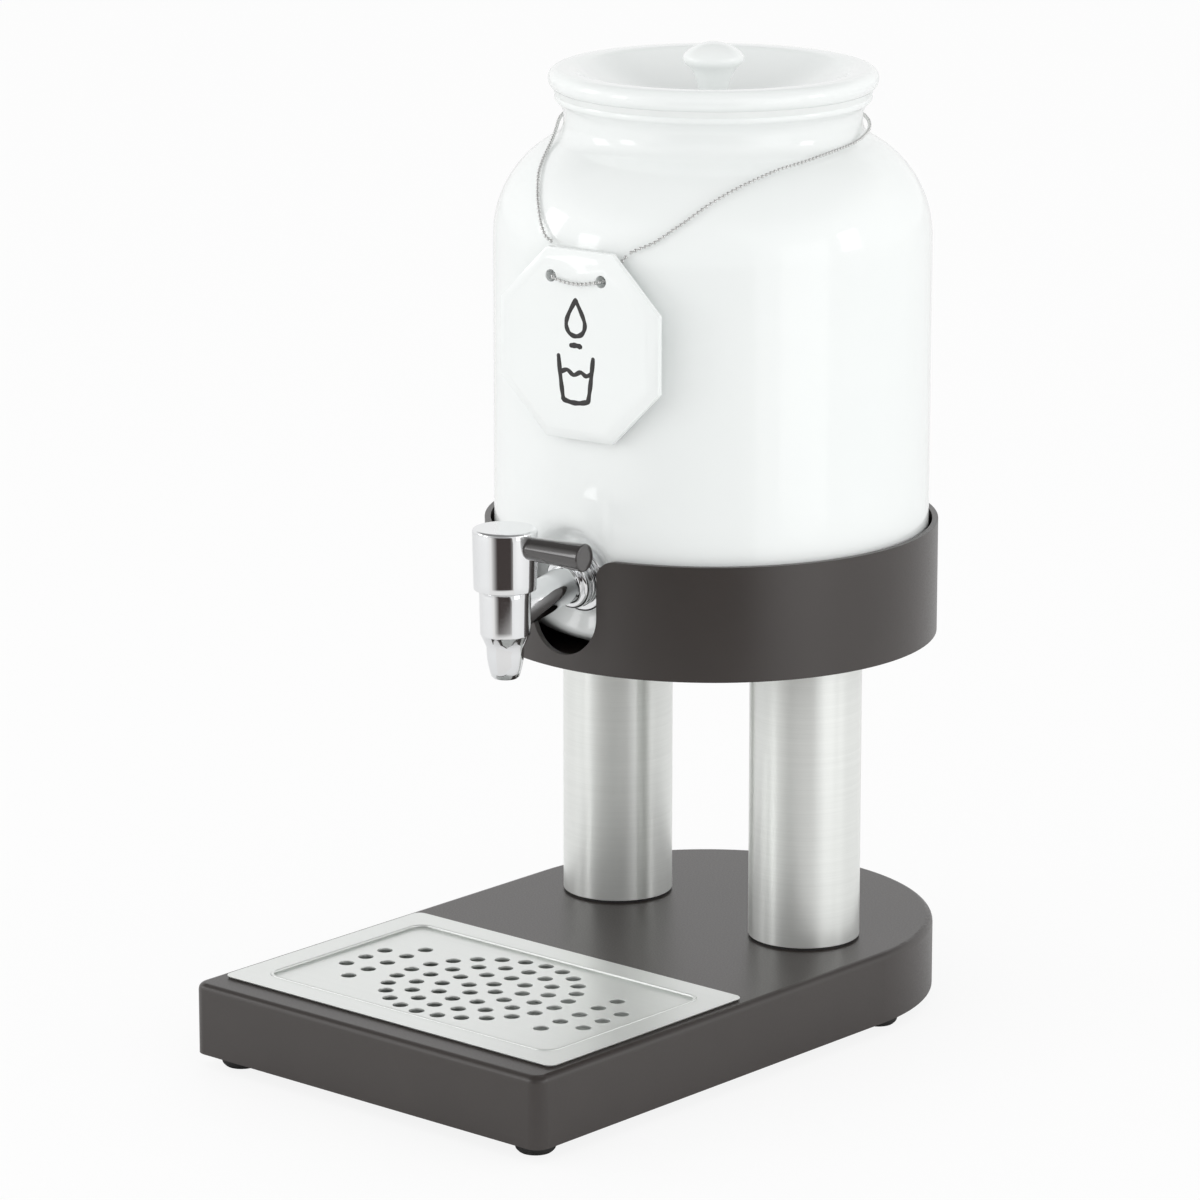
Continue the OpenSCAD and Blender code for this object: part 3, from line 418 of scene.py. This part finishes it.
BALL_R, BALL_PITCH, PIN_R, PIN_INSET = 0.78, 2.1, 0.28, 0.6
NECK_ROUTE = [
    (30, -87.5, 336.5), (33.5, -85.5, 338.5), (38.5, -82.5, 341), (43.5, -78, 345.5),
    (48, -73, 350), (52.5, -66, 355.5), (57, -57, 360.5), (61, -46.5, 364.5),
    (64, -35.5, 367.5), (66, -24, 369), (67, -12, 370.5), (66, 1, 371.5), (64, 14, 372.5),
    (59.5, 26.5, 374), (51.5, 39, 375), (40, 50, 376.5), (21.5, 60.5, 377.5), (0, 64, 378),
    (-21.5, 60.5, 378), (-40, 50, 378), (-52.5, 36.5, 378), (-60.5, 21, 378), (-64, 2, 378),
    (-61.5, -18, 377.5), (-54.5, -33.5, 376), (-48, -43, 374), (-42.5, -51.5, 371),
    (-38.5, -59, 368), (-35, -66, 365), (-32, -71.5, 362), (-29, -76, 359),
    (-23.5, -82.5, 352.5), (-19, -86.5, 347), (-15, -89.5, 342.5), (-11, -91.5, 339),
    (-6.5, -92.5, 337.5)]
TAG_ROUTE = [
    (20, 90.5, 335.8), (17.5, 91.3, 332.5), (14.8, 91.6, 329), (12.8, 92.5, 326.2),
    (12.3, 94.5, 325.5), (12, 96.8, 325.1), (11, 98.7, 324.9), (8.5, 99.3, 324.4),
    (4.5, 99.3, 323.6), (0, 99.3, 323.3), (-4.5, 99.3, 323.6), (-8.5, 99.3, 324.4),
    (-11, 98.7, 324.9), (-12, 96.8, 325.1), (-12.3, 94.5, 325.5), (-12.8, 92.5, 326.2),
    (-13.8, 91.6, 329.5), (-14.8, 91.5, 333), (-15.5, 91.5, 336.3)]


def tag_point(u, out, z):
    """A point given along the tag, outwards from the jar axis and in height."""
    c, s = math.cos(TAG_TURN), math.sin(TAG_TURN)
    return Vector((u * c + out * s, JAR_Y + u * s - out * c, z))


def along(route, pitch):
    """Places at an even pitch along a route."""
    lengths = [0.0]
    for a, b in zip(route, route[1:]):
        lengths.append(lengths[-1] + (b - a).length)
    count = int(lengths[-1] / pitch)
    spare = (lengths[-1] - count * pitch) / 2
    places, k = [], 0
    for i in range(count + 1):
        s = spare + i * pitch
        while k < len(route) - 2 and lengths[k + 1] < s:
            k += 1
        t = (s - lengths[k]) / max(lengths[k + 1] - lengths[k], 1e-9)
        places.append(route[k].lerp(route[k + 1], t))
    return places, lengths[-1]


def ball_chain(name, route, node, body):
    """Round beads joined by short pins along a route."""
    places, length = along(smooth_points(route, 2), BALL_PITCH)
    ball = arc(0, 0, BALL_R, -90, 90, 8)
    solids = []
    for q, r in zip(places, places[1:]):
        turn = (r - q).to_track_quat("Z", "X").to_matrix().to_4x4()
        place = Matrix.Translation(q) @ turn
        pin = [(PIN_R, PIN_INSET), (PIN_R, (r - q).length - PIN_INSET)]
        solids.append(lathe(ball, place, BALL_STEPS))
        solids.append(lathe(pin, place, PIN_STEPS))
    solids.append(lathe(ball, Matrix.Translation(places[-1]), BALL_STEPS))
    chain = stands_for(add_mesh(name, *joined(*solids), M["bead"]), node, body)


ball_chain("ball_chain_neck", [Vector((x, y + JAR_Y, z)) for x, y, z in NECK_ROUTE],
           "neck_chain", "jar_set")
ball_chain("ball_chain_tag", [tag_point(*q) for q in TAG_ROUTE], "tag_chain", "tag")


# Places of the turned pieces

JAR_AXIS = Matrix.Translation((0, JAR_Y, 0))
SLOPE = math.radians(PIPE_SLOPE)
PIPE = (Matrix.Translation((0, JAR_Y, TAP_Z + PAD_REACH * math.tan(SLOPE)))
        @ Matrix.Rotation(math.radians(90 + PIPE_SLOPE), 4, "X"))
HEAD_Z = TAP_Z - (TAP_REACH - PAD_REACH) * math.tan(SLOPE)
HEAD = Matrix.Translation((0, JAR_Y - TAP_REACH, HEAD_Z))
PAD = PAD_REACH / math.cos(SLOPE)


# Jar and lid

SHOULDER = math.degrees(math.acos(1 - (JAR_R - NECK_R) / (SHOULDER_R + NECK_FILLET_R)))
SIDE_Z = BELLY_Z + JAR_BASE_R
NECK_Z = SIDE_TOP_Z + (SHOULDER_R + NECK_FILLET_R) * math.sin(math.radians(SHOULDER))
MOUTH_Z = NECK_Z + NECK_H
LID_Z = MOUTH_Z + SEAL_T
BEAD_X = MOUTH_R - BEAD_R
LIP_R = LID_RIM / 2
LIP_X = LID_R - LIP_R

# The sunk pad outside and the thick boss inside: flat radius, rise of the side, soft change
PAD_FLAT_R, PAD_SIDE, PAD_SOFT = 16.2, 0.62, 2.4
BOSS_T, BOSS_FLAT_R, BOSS_SIDE = 8.3, 21.0, 1.6
PAD_LIMIT_R, PAD_TOP_Z = 45.0, 238.0

# The knob: radius and height over the dish, then radius and depth under its top
KNOB_STEM = [(11.5, 0.9), (8.4, 2.3), (6.7, 4.6), (6.1, 7.4), (6.2, 10.2), (7.1, 14.2)]
KNOB_HEAD = [(8.3, 12.9), (9.9, 10.6), (11.7, 8.9), (12.6, 7.4), (12.5, 5.9), (11.4, 4.4),
             (9.2, 2.7), (6.3, 1.2), (3.2, 0.3), (0, 0)]


def sunk_pad(p, outside):
    """Moves a point of the jar's wall along the pipe, to the sunk pad or the boss."""
    q = PIPE.inverted() @ p
    r = math.hypot(q.x, q.y)
    if q.z < 0 or r > PAD_LIMIT_R:
        return p
    if outside:
        q.z = smooth_least(q.z, PAD + max(r - PAD_FLAT_R, 0) * PAD_SIDE, PAD_SOFT)
    else:
        q.z = smooth_least(q.z, PAD - BOSS_T + max(r - BOSS_FLAT_R, 0) * BOSS_SIDE, PAD_SOFT)
    return PIPE @ q


def make_jar():
    low, high = JAR_R - JAR_BASE_R, JAR_R - SHOULDER_R
    root, flare_x = NECK_R + NECK_FILLET_R, NECK_R + FLARE_R
    bead_z, foot_z = MOUTH_Z - BEAD_R, JAR_FOOT_Z + FOOT_EDGE
    flare_z = bead_z - math.sqrt((FLARE_R + BEAD_R) ** 2 - (flare_x - BEAD_X) ** 2)
    lean = math.degrees(math.atan2(bead_z - flare_z, BEAD_X - flare_x))
    neck_in, side_in = NECK_R - JAR_WALL, JAR_R - JAR_WALL
    outside = profile(
        [(0, BELLY_Z), (FOOT_IN_R - FOOT_FLARE, BELLY_Z)],
        arc(FOOT_IN_R + FOOT_EDGE, foot_z, FOOT_EDGE, 180, 270, 3),
        arc(FOOT_OUT_R - FOOT_EDGE, foot_z, FOOT_EDGE, 270, 360, 3),
        [(FOOT_OUT_R + FOOT_FLARE, BELLY_Z)],
        arc(low, SIDE_Z, JAR_BASE_R, -90, 0, 26),
        line((JAR_R, SIDE_Z), (JAR_R, PAD_TOP_Z), 24),
        line((JAR_R, PAD_TOP_Z), (JAR_R, SIDE_TOP_Z), 10),
        arc(high, SIDE_TOP_Z, SHOULDER_R, 0, SHOULDER, 40),
        arc(root, NECK_Z, NECK_FILLET_R, 180 + SHOULDER, 180, 14),
        arc(flare_x, flare_z, FLARE_R, 180, lean, 12),
        arc(BEAD_X, bead_z, BEAD_R, lean - 180, 90, 12),
        arc(neck_in + MOUTH_EDGE, MOUTH_Z - MOUTH_EDGE, MOUTH_EDGE, 90, 180, 5))
    inside = profile(
        arc(root, NECK_Z, NECK_FILLET_R + JAR_WALL, 180, 180 + SHOULDER, 12),
        arc(high, SIDE_TOP_Z, SHOULDER_R - JAR_WALL, SHOULDER, 0, 24),
        line((side_in, SIDE_TOP_Z), (side_in, PAD_TOP_Z), 8),
        line((side_in, PAD_TOP_Z), (side_in, SIDE_Z), 20),
        arc(low, SIDE_Z, JAR_BASE_R - JAR_WALL, 0, -90, 18),
        [(0, BELLY_Z + JAR_WALL)])
    verts, faces = lathe(outside + inside, JAR_AXIS, JAR_STEPS)
    inner_start = len(lathe(outside, JAR_AXIS, JAR_STEPS)[0])
    verts = [sunk_pad(v, i < inner_start) for i, v in enumerate(verts)]
    stands_for(add_mesh("jar_glazed", verts, faces, M["porcelain"], GLAZE_SHARP),
               "jar", "jar_set")


def make_lid():
    top = LID_Z + LID_RIM
    dish_x = LIP_X - LIP_FLAT
    dish_r = (dish_x ** 2 + (DISH_DEPTH - LID_RIM) ** 2 - LID_RIM ** 2) / (2 * DISH_DEPTH)
    dish_z = top + dish_r - DISH_DEPTH
    turn = math.degrees(math.atan2(dish_z - LID_Z, -dish_x))
    plug_r = NECK_R - JAR_WALL - LID_FIT
    bowl_r = dish_r + LID_WALL
    bowl_end = -math.degrees(math.acos(plug_r / bowl_r))
    dish_end = -math.degrees(math.acos(KNOB_FOOT_R / dish_r))
    floor, crown = top - DISH_DEPTH, top + KNOB_RISE
    knob = [(r, floor + h) for r, h in KNOB_STEM] + [(r, crown - d) for r, d in KNOB_HEAD]
    points = profile(
        arc(0, dish_z, bowl_r, -90, bowl_end, 24),
        line((plug_r, LID_Z), (LIP_X, LID_Z), 3),
        arc(LIP_X, LID_Z + LIP_R, LIP_R, -90, 90, 22),
        [(dish_x, top)],
        arc(dish_x, LID_Z, LID_RIM, 90, turn, 10),
        arc(0, dish_z, dish_r, turn - 180, dish_end, 26),
        [(q.x, q.y) for q in smooth_points(knob, 3)])
    lid = lathe(points, JAR_AXIS, LID_STEPS)
    stands_for(add_mesh("lid_glazed", *lid, M["porcelain"], GLAZE_SHARP), "lid", "lid_set")


def make_seal():
    """The ring under the lid, squeezed out a little into the groove between rim and mouth."""
    gap, inner_r = 0.03, BEAD_X - SEAL_W
    points = profile(
        [(inner_r, MOUTH_Z + gap)],
        arc(BEAD_X, MOUTH_Z - BEAD_R, BEAD_R + gap, 90, 30, 8),
        arc(LIP_X, LID_Z + LIP_R, LIP_R + gap, -58, -90, 6),
        [(inner_r, LID_Z - gap)])
    ring = lathe(points, JAR_AXIS, LID_STEPS, closed=True)
    stands_for(add_mesh("seal_moulded", *ring, M["silicone"], GLAZE_SHARP),
               "lid_seal", "lid_set")


make_jar()
make_lid()
make_seal()


# Tap: rosette and pipe are drawn along the pipe, the rest along the upright head

def make_rosette():
    hole, flat, edge, back_edge, back_rise = 5.1, 12.2, 1.6, 0.3, 1.4
    face = PAD + ROSETTE_T
    points = profile(
        [(hole, face), (hole, PAD), (ROSETTE_R - back_edge, PAD), (ROSETTE_R, PAD + back_rise)],
        arc(ROSETTE_R - edge, face - edge, edge, 0, 90, 8),
        [(flat, face), (hole, face)])
    rosette = lathe(points, PIPE, TAP_STEPS)
    stands_for(add_mesh("rosette_chrome", *rosette, M["chrome"], METAL_SHARP),
               "rosette", "jar_set")


def pipe_run():
    """Two collars against the rosette, then the pipe down to the head."""
    wide, wide_t, wide_edge, shelf = 11.1, 2.2, 0.6, 10.2
    narrow, narrow_t, narrow_edge = 9.5, 4.0, 1.8
    root, root_edge, start_r, end_r = 9.0, 1.1, 7.75, 8.0
    face = PAD + ROSETTE_T
    step = face + wide_t
    start = step + narrow_t
    end = TAP_REACH / math.cos(SLOPE)
    return lathe(profile(
        [(0, face)],
        arc(wide, face + wide_edge, wide_edge, -90, 0, 4),
        arc(wide, step - wide_edge, wide_edge, 0, 90, 4),
        [(shelf, step)],
        arc(narrow, step + narrow_edge, narrow_edge, -90, 0, 8),
        arc(narrow, start - narrow_edge, narrow_edge, 0, 90, 8),
        arc(root, start + root_edge, root_edge, 270, 200, 6),
        line((start_r, start + 2 * root_edge), (end_r, end), 6),
        [(0, end)]), PIPE, TAP_STEPS)


def barrel_run():
    """The barrel with its taper and the bulged nozzle under it."""
    bore, bore_top, mouth, edge = 3.2, -15.0, -25.3, 0.5
    neck, neck_z, bulge_r = 7.7, -12.7, 40.0
    taper, taper_z, side_z = 10.0, -7.7, -7.2
    low_r, top_r, top, top_edge = 10.2, 10.6, 11.0, 0.4
    drops = (12.2, 10, 7.6, 5, 2.4, 0)
    bulge = [(neck - bulge_r + math.sqrt(bulge_r ** 2 - h * h), neck_z - h)
             for h in drops]
    return lathe(profile(
        [(0, bore_top)],
        line((bore, bore_top), (bore, mouth), 3),
        arc(bore + edge, mouth, edge, 180, 270, 3),
        arc(bore + 3 * edge, mouth, edge, 270, 345, 3),
        bulge,
        line((neck, neck_z), (taper, taper_z), 2),
        arc(low_r - edge, side_z, edge, -25, 0, 3),
        line((low_r, side_z), (top_r, top - top_edge), 8),
        arc(top_r - top_edge, top - top_edge, top_edge, 0, 90, 3),
        [(0, top)]), HEAD, TAP_STEPS)


def make_casting():
    casting = joined(pipe_run(), barrel_run())
    stands_for(add_mesh("tap_casting", *casting, M["chrome"], CASTING_SHARP),
               "tap_body", "jar_set")


def make_cap():
    hollow, hollow_top, low_edge, top_edge = 10.0, CAP_LOW + 5, 0.4, 1.3
    low_r, top_r, top_rings = 12.8, 13.3, (9, 4, 0)
    points = profile(
        [(0, hollow_top), (hollow, hollow_top), (hollow, CAP_LOW)],
        arc(low_r - low_edge, CAP_LOW + low_edge, low_edge, -90, 0, 3),
        line((low_r, CAP_LOW + low_edge), (top_r, CAP_TOP - top_edge), 10),
        arc(top_r - top_edge, CAP_TOP - top_edge, top_edge, 0, 90, 8),
        [(r, CAP_TOP) for r in top_rings])
    cap = lathe(points, HEAD, TAP_STEPS)
    stands_for(add_mesh("cap_chrome", *cap, M["chrome"], METAL_SHARP),
               "tap_cap", "tap_handle")


def make_lever():
    drop, turn = 6.8, 5
    root, root_r, side_end, end, end_r, edge, end_ring = 11.5, 4.6, 39.2, 40.0, 5.75, 0.7, 3
    place = (HEAD @ Matrix.Translation((0, 0, CAP_TOP - drop))
             @ Matrix.Rotation(math.radians(turn), 4, "Z")
             @ Matrix.Rotation(math.radians(90), 4, "Y"))
    points = profile(
        [(0, root)],
        line((root_r, root), (end_r, side_end), 10),
        arc(end_r - edge, end - edge, edge, 0, 90, 5),
        [(end_ring, end), (0, end)])
    bar = lathe(points, place, LEVER_STEPS)
    stands_for(add_mesh("lever_grip", *bar, M["grip"], METAL_SHARP),
               "lever_bar", "tap_handle")


make_rosette()
make_casting()
make_cap()
make_lever()


# Pieces that keep the shape of their solids, with softened edges

WELD, FLAT_ANGLE, HARD_ANGLE = 2e-6, math.radians(0.6), math.radians(28)
STEP_IN, STEP_OUT, STEP_LOW_Z = 0.93, 1.05, 35.5
RIM_X, RIM_Y, RIM_LOW_Z = 87, 56, 36.1


def softened(name, node, body, *rounds):
    """A solid's mesh with rounded edges: each round is a width, steps and a test of place."""
    bm = bmesh.new()
    bm.from_mesh(nodes[node].data)
    bmesh.ops.remove_doubles(bm, verts=bm.verts, dist=WELD)
    bmesh.ops.dissolve_limit(bm, angle_limit=FLAT_ANGLE, verts=bm.verts, edges=bm.edges)
    for width, steps, test in rounds:
        bm.normal_update()
        hard = [e for e in bm.edges
                if len(e.link_faces) == 2 and e.calc_face_angle(0) > HARD_ANGLE
                and (test is None or test((e.verts[0].co + e.verts[1].co) / (2 * MM)))]
        bmesh.ops.bevel(bm, geom=hard, offset=width * MM, segments=steps, profile=0.5,
                        affect="EDGES", clamp_overlap=True)
    mesh = bpy.data.meshes.new(name)
    bm.to_mesh(mesh)
    bm.free()
    for polygon in mesh.polygons:
        polygon.use_smooth = True
    mesh.set_sharp_from_angle(angle=math.radians(METAL_SHARP))
    mesh.materials.clear()
    mesh.materials.append(M[FINISH[node]])
    obj = bpy.data.objects.new(name, mesh)
    scene.collection.objects.link(obj)
    weighted = obj.modifiers.new("flat_faces", "WEIGHTED_NORMAL")
    weighted.keep_sharp = True
    weighted.weight = 100
    stands_for(obj, node, body)


def on_step(p):
    """True on the pressed step round the grid's panel."""
    reach = max(abs(p.x) / PANEL_X, abs(p.y - GRID_Y) / PANEL_Y)
    return STEP_IN < reach < STEP_OUT and p.z > STEP_LOW_Z


def under_rim(p):
    """True on the lower outer edge of the grid's rim, which is turned under."""
    return p.z < RIM_LOW_Z and (abs(p.x) > RIM_X or abs(p.y - GRID_Y) > RIM_Y)


def make_grid_bead():
    """A fine half-round line pressed along the rim's inner edge."""
    inset, corner, half_width, rise, sunk = 0.3, 6.7, 0.6, 0.42, 0.02
    middle_x, middle_y = PANEL_X - inset - corner, PANEL_Y - inset - corner
    sides, corner_steps = 8, 12
    outline = []
    for x, y, start in ((1, 1, 0), (-1, 1, 90), (-1, -1, 180), (1, -1, 270)):
        for i in range(corner_steps + 1):
            t = math.radians(start + 90 * i / corner_steps)
            outline.append((x * middle_x, GRID_Y + y * middle_y, math.cos(t), math.sin(t)))
    verts, faces = [], []
    for x, y, c, s in outline:
        for k in range(sides + 1):
            a = math.pi * k / sides
            r = corner + half_width * math.cos(a)
            verts.append(Vector((x + r * c, y + r * s, GRID_TOP_Z - sunk + rise * math.sin(a))))
    for i in range(len(outline)):
        j = (i + 1) % len(outline)
        for k in range(sides):
            a, b = i * (sides + 1) + k, j * (sides + 1) + k
            faces.append((a, b, b + 1, a + 1))
    bead = add_mesh("grid_bead", verts, faces, M["tray"])
    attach(bead, "grid")


softened("base_painted", "base_shell", "stand", (0.7, 3, None))
softened("ring_painted", "holder_ring", "stand", (0.7, 3, None))
softened("column_left_brushed", "column_left", "stand", (0.35, 2, None))
softened("column_right_brushed", "column_right", "stand", (0.35, 2, None))
softened("grid_pressed", "drip_grid", "grid",
         (0.8, 1, under_rim), (0.45, 4, on_step), (0.15, 2, None))
make_grid_bead()
softened("pan_pressed", "drip_pan", "pan", (0.3, 2, None))
softened("feet_moulded", "feet", "stand", (0.5, 2, None))
softened("tag_glazed", "tag_plate", "tag", (0.9, 4, None))


# Marker drawing on the tag: a drop, a dash and a cup

INK_SINK, INK_RISE, STROKE_SIDES = 0.02, 0.16, 10
WAVER, WAVER_PACE = 0.1, 0.7
STROKES = [
    ([(0, 19), (-3.4, 13), (-4.6, 8.8), (-3.2, 5.4), (0, 4.2), (3.3, 5.5), (4.6, 9),
      (3.2, 13.2), (0.1, 18.8)], 2.0),
    ([(-2.2, 0.2), (0.2, 0.4), (2.4, 0.1)], 2.2),
    ([(-8.4, -4.6), (-7.6, -12), (-6.6, -19), (-6.0, -22.4)], 2.1),
    ([(-6.0, -22.4), (-2, -23.2), (2.2, -23.1), (6.2, -22.2)], 2.1),
    ([(6.2, -22.2), (6.9, -18), (7.8, -11.4), (8.6, -4.4)], 2.1),
    ([(-7.3, -11.2), (-4.2, -10), (-1, -11.8), (2.4, -10.4), (5, -11.6), (7.4, -10.8)], 1.9)]


def marker_stroke(points, width):
    """A thin raised stroke on the face of the tag with round ends."""
    curve = smooth_points([(u, h, 0) for u, h in points], 8)
    last = len(curve) - 1
    verts, faces = [], []
    row = STROKE_SIDES + 1

    def heading(i):
        return (curve[min(i + 1, last)] - curve[max(i - 1, 0)]).normalized()

    def on_tag(v, rise):
        return tag_point(v.x, TAG_FRONT - INK_SINK + rise, TAG_Z + v.y)

    for i, q in enumerate(curve):
        t = heading(i)
        side = Vector((-t.y, t.x, 0))
        w = width / 2 * (1 + WAVER * math.sin(i * WAVER_PACE + points[0][0]))
        for k in range(row):
            a = math.pi * k / STROKE_SIDES
            verts.append(on_tag(q + side * w * math.cos(a), INK_RISE * math.sin(a)))
    for i in range(last):
        for k in range(STROKE_SIDES):
            a = i * row + k
            faces.append((a, a + 1, a + row + 1, a + row))
    for i, sense in ((0, -1), (last, 1)):
        t = heading(i) * sense
        side = Vector((-t.y, t.x, 0))
        tip = len(verts)
        verts.append(on_tag(curve[i], INK_RISE))
        for k in range(row):
            a = math.pi * k / STROKE_SIDES
            out = (side * math.cos(a) + t * math.sin(a)) * width / 2
            verts.append(on_tag(curve[i] + out, 0))
        for k in range(STROKE_SIDES):
            ring = (tip, tip + 1 + k, tip + 2 + k)
            faces.append(ring if sense < 0 else ring[::-1])
    return verts, faces


def make_drawing():
    strokes = joined(*[marker_stroke(points, width) for points, width in STROKES])
    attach(add_mesh("marker_drawing", *strokes, M["ink"]), "tag")


make_drawing()


# Studio, in metres: lamps have an angle, distance, height, width, length and power

SOFTBOXES = {
    "left_softbox": (-68, 1.5, 0.52, 0.32, 0.5, 1.2),
    "far_left_softbox": (-96, 1.5, 0.75, 0.4, 0.5, 1.4),
    "right_panel": (46, 0.95, 0.3, 0.44, 0.58, 0.5),
    "right_softbox": (74, 1.5, 0.6, 0.3, 0.4, 1.3)}
LAMP_TARGET = Vector((0, 0.05, 0.27))

# Fades, each over a range of direction, height or distance, and the light at its two ends
ROOM_SIDE, ROOM_FADE, ROOM_LIGHT = -16, (0.72, 0.84), (0.95, 0.45)
CEILING_FADE, CEILING_LIGHT = (0.45, 0.7), (1.0, 0.28)
SOFT_FADE, SOFT_LIGHT = (0.1, 0.8), (1.54, 0.77)
# Painted reflection: a sheet seen only in mirrors, pale near the jar and dark further off on the
# camera's side
REFLECTION_SIDE, REFLECTION_SIDE_FADE, REFLECTION_FADE = -6, (0.72, 0.93), (0.58, 0.7)
REFLECTION_PALE, REFLECTION_DARK = (0.85, 0.84, 0.83), (0.06, 0.05, 0.048)
FLOOR_TONES, FLOOR_ROUGH = ((0.86, 0.86, 0.86), (0.88, 0.88, 0.88)), (0.55, 0.65)


def camera_side(angle, distance, height):
    """A place around the jar, counted in degrees to the right of the camera."""
    a = math.radians(CAMERA_TURN + angle)
    return Vector((math.sin(a) * distance, JAR_Y * MM - math.cos(a) * distance, height))


def side_direction(angle):
    return camera_side(angle, 1, 0) - camera_side(0, 0, 0)


def make_lights():
    for name, (angle, distance, height, width, length, power) in SOFTBOXES.items():
        data = bpy.data.lights.new(name, "AREA")
        data.shape = "RECTANGLE"
        data.size, data.size_y = width, length
        data.energy = power
        lamp = bpy.data.objects.new(name, data)
        scene.collection.objects.link(lamp)
        lamp.location = camera_side(angle, distance, height)
        lamp.rotation_euler = (LAMP_TARGET - lamp.location).to_track_quat("-Z", "Y").to_euler()


def make_world():
    """White low all round, dimmer overhead; mirrors see the camera's side of the room grey."""
    world = bpy.data.worlds.new("studio")
    scene.world = world
    world.use_nodes = True
    s = Shader(world.node_tree)
    back = world.node_tree.nodes["Background"]
    path = s.node("ShaderNodeLightPath")
    glossy = path.outputs["Is Glossy Ray"]
    seen = s.math("MAXIMUM", path.outputs["Is Camera Ray"], path.outputs["Is Transmission Ray"])
    direction = s.node("ShaderNodeTexCoord").outputs["Generated"]
    split = s.node("ShaderNodeSeparateXYZ")
    s.link(direction, split.inputs[0])
    height = split.outputs["Z"]
    facing = s.towards(direction, side_direction(ROOM_SIDE))
    room = s.remap(facing, *ROOM_FADE, *ROOM_LIGHT)
    ceiling = s.remap(height, *CEILING_FADE, *CEILING_LIGHT)
    mirrored = s.math("MULTIPLY", glossy, s.math("MULTIPLY", room, ceiling))
    soft = s.math("MULTIPLY", s.math("SUBTRACT", 1.0, glossy),
                  s.remap(height, *SOFT_FADE, *SOFT_LIGHT))
    back.inputs["Color"].default_value = (1, 1, 1, 1)
    s.link(s.math("MAXIMUM", seen, s.math("ADD", mirrored, soft)), back.inputs["Strength"])


def make_floor():
    """A pale floor that the camera sees nearly white, with a faint shadow."""
    size, white = 14000, 0.87
    material, s, bsdf = new_material("pale_floor")
    grain, mottle = grained(s, 40, 1.5)
    s.link(s.mix(mottle, *FLOOR_TONES), bsdf.inputs["Base Color"])
    s.link(s.remap(grain, NOISE_LOW, NOISE_HIGH, *FLOOR_ROUGH), bsdf.inputs["Roughness"])
    bsdf.inputs["Specular IOR Level"].default_value = 0.2
    glow = s.node("ShaderNodeEmission")
    blend = s.node("ShaderNodeMixShader")
    path = s.node("ShaderNodeLightPath")
    s.link(s.math("MULTIPLY", path.outputs["Is Camera Ray"], white), blend.inputs["Fac"])
    s.link(bsdf.outputs["BSDF"], blend.inputs[1])
    s.link(glow.outputs["Emission"], blend.inputs[2])
    s.link(blend.outputs["Shader"], material.node_tree.nodes["Material Output"].inputs["Surface"])
    corners = [Vector((x * size, y * size, 0)) for x, y in ((-1, -1), (1, -1), (1, 1), (-1, 1))]
    add_mesh("floor", corners, [(0, 1, 2, 3)], material)


def make_painted_reflection():
    """A sheet on the floor of the camera's side, pale and then dark, which only mirrors show: a
    painted reflection of a dark room.
    """
    near, far, lift = 0.3, 6, 0.002
    first, spread, steps = -55, 76, 24
    material, s, bsdf = new_material("painted_reflection_tone")
    place = s.node("ShaderNodeTexCoord").outputs["Object"]
    distance = s.node("ShaderNodeVectorMath", operation="LENGTH")
    s.link(place, distance.inputs[0])
    direction = s.node("ShaderNodeVectorMath", operation="NORMALIZE")
    s.link(place, direction.inputs[0])
    aside = s.towards(direction.outputs["Vector"], side_direction(REFLECTION_SIDE))
    dark = s.math("MULTIPLY", s.remap(distance.outputs["Value"], *REFLECTION_FADE, 0, 1),
                  s.remap(aside, *REFLECTION_SIDE_FADE, 0, 1))
    # Painted reflection: pale near the jar, dark further off, so mirrors show a dark room
    s.link(s.mix(dark, REFLECTION_PALE, REFLECTION_DARK), bsdf.inputs["Base Color"])
    set_sockets(bsdf, {"Roughness": 0.8, "Specular IOR Level": 0})
    verts, faces = [], []
    for i in range(steps + 1):
        angle = first + spread * i / steps
        verts += [camera_side(angle, reach, lift) / MM for reach in (near, far)]
    for i in range(steps):
        faces.append((2 * i, 2 * i + 1, 2 * i + 3, 2 * i + 2))
    mirror_sheet = add_mesh("painted_reflection_sheet", verts, faces, material)
    mirror_sheet.visible_camera = False
    mirror_sheet.visible_diffuse = False
    mirror_sheet.visible_shadow = False
    mirror_sheet.visible_transmission = False


make_lights()
make_world()
make_floor()
make_painted_reflection()
scene.view_settings.view_transform = "Standard"
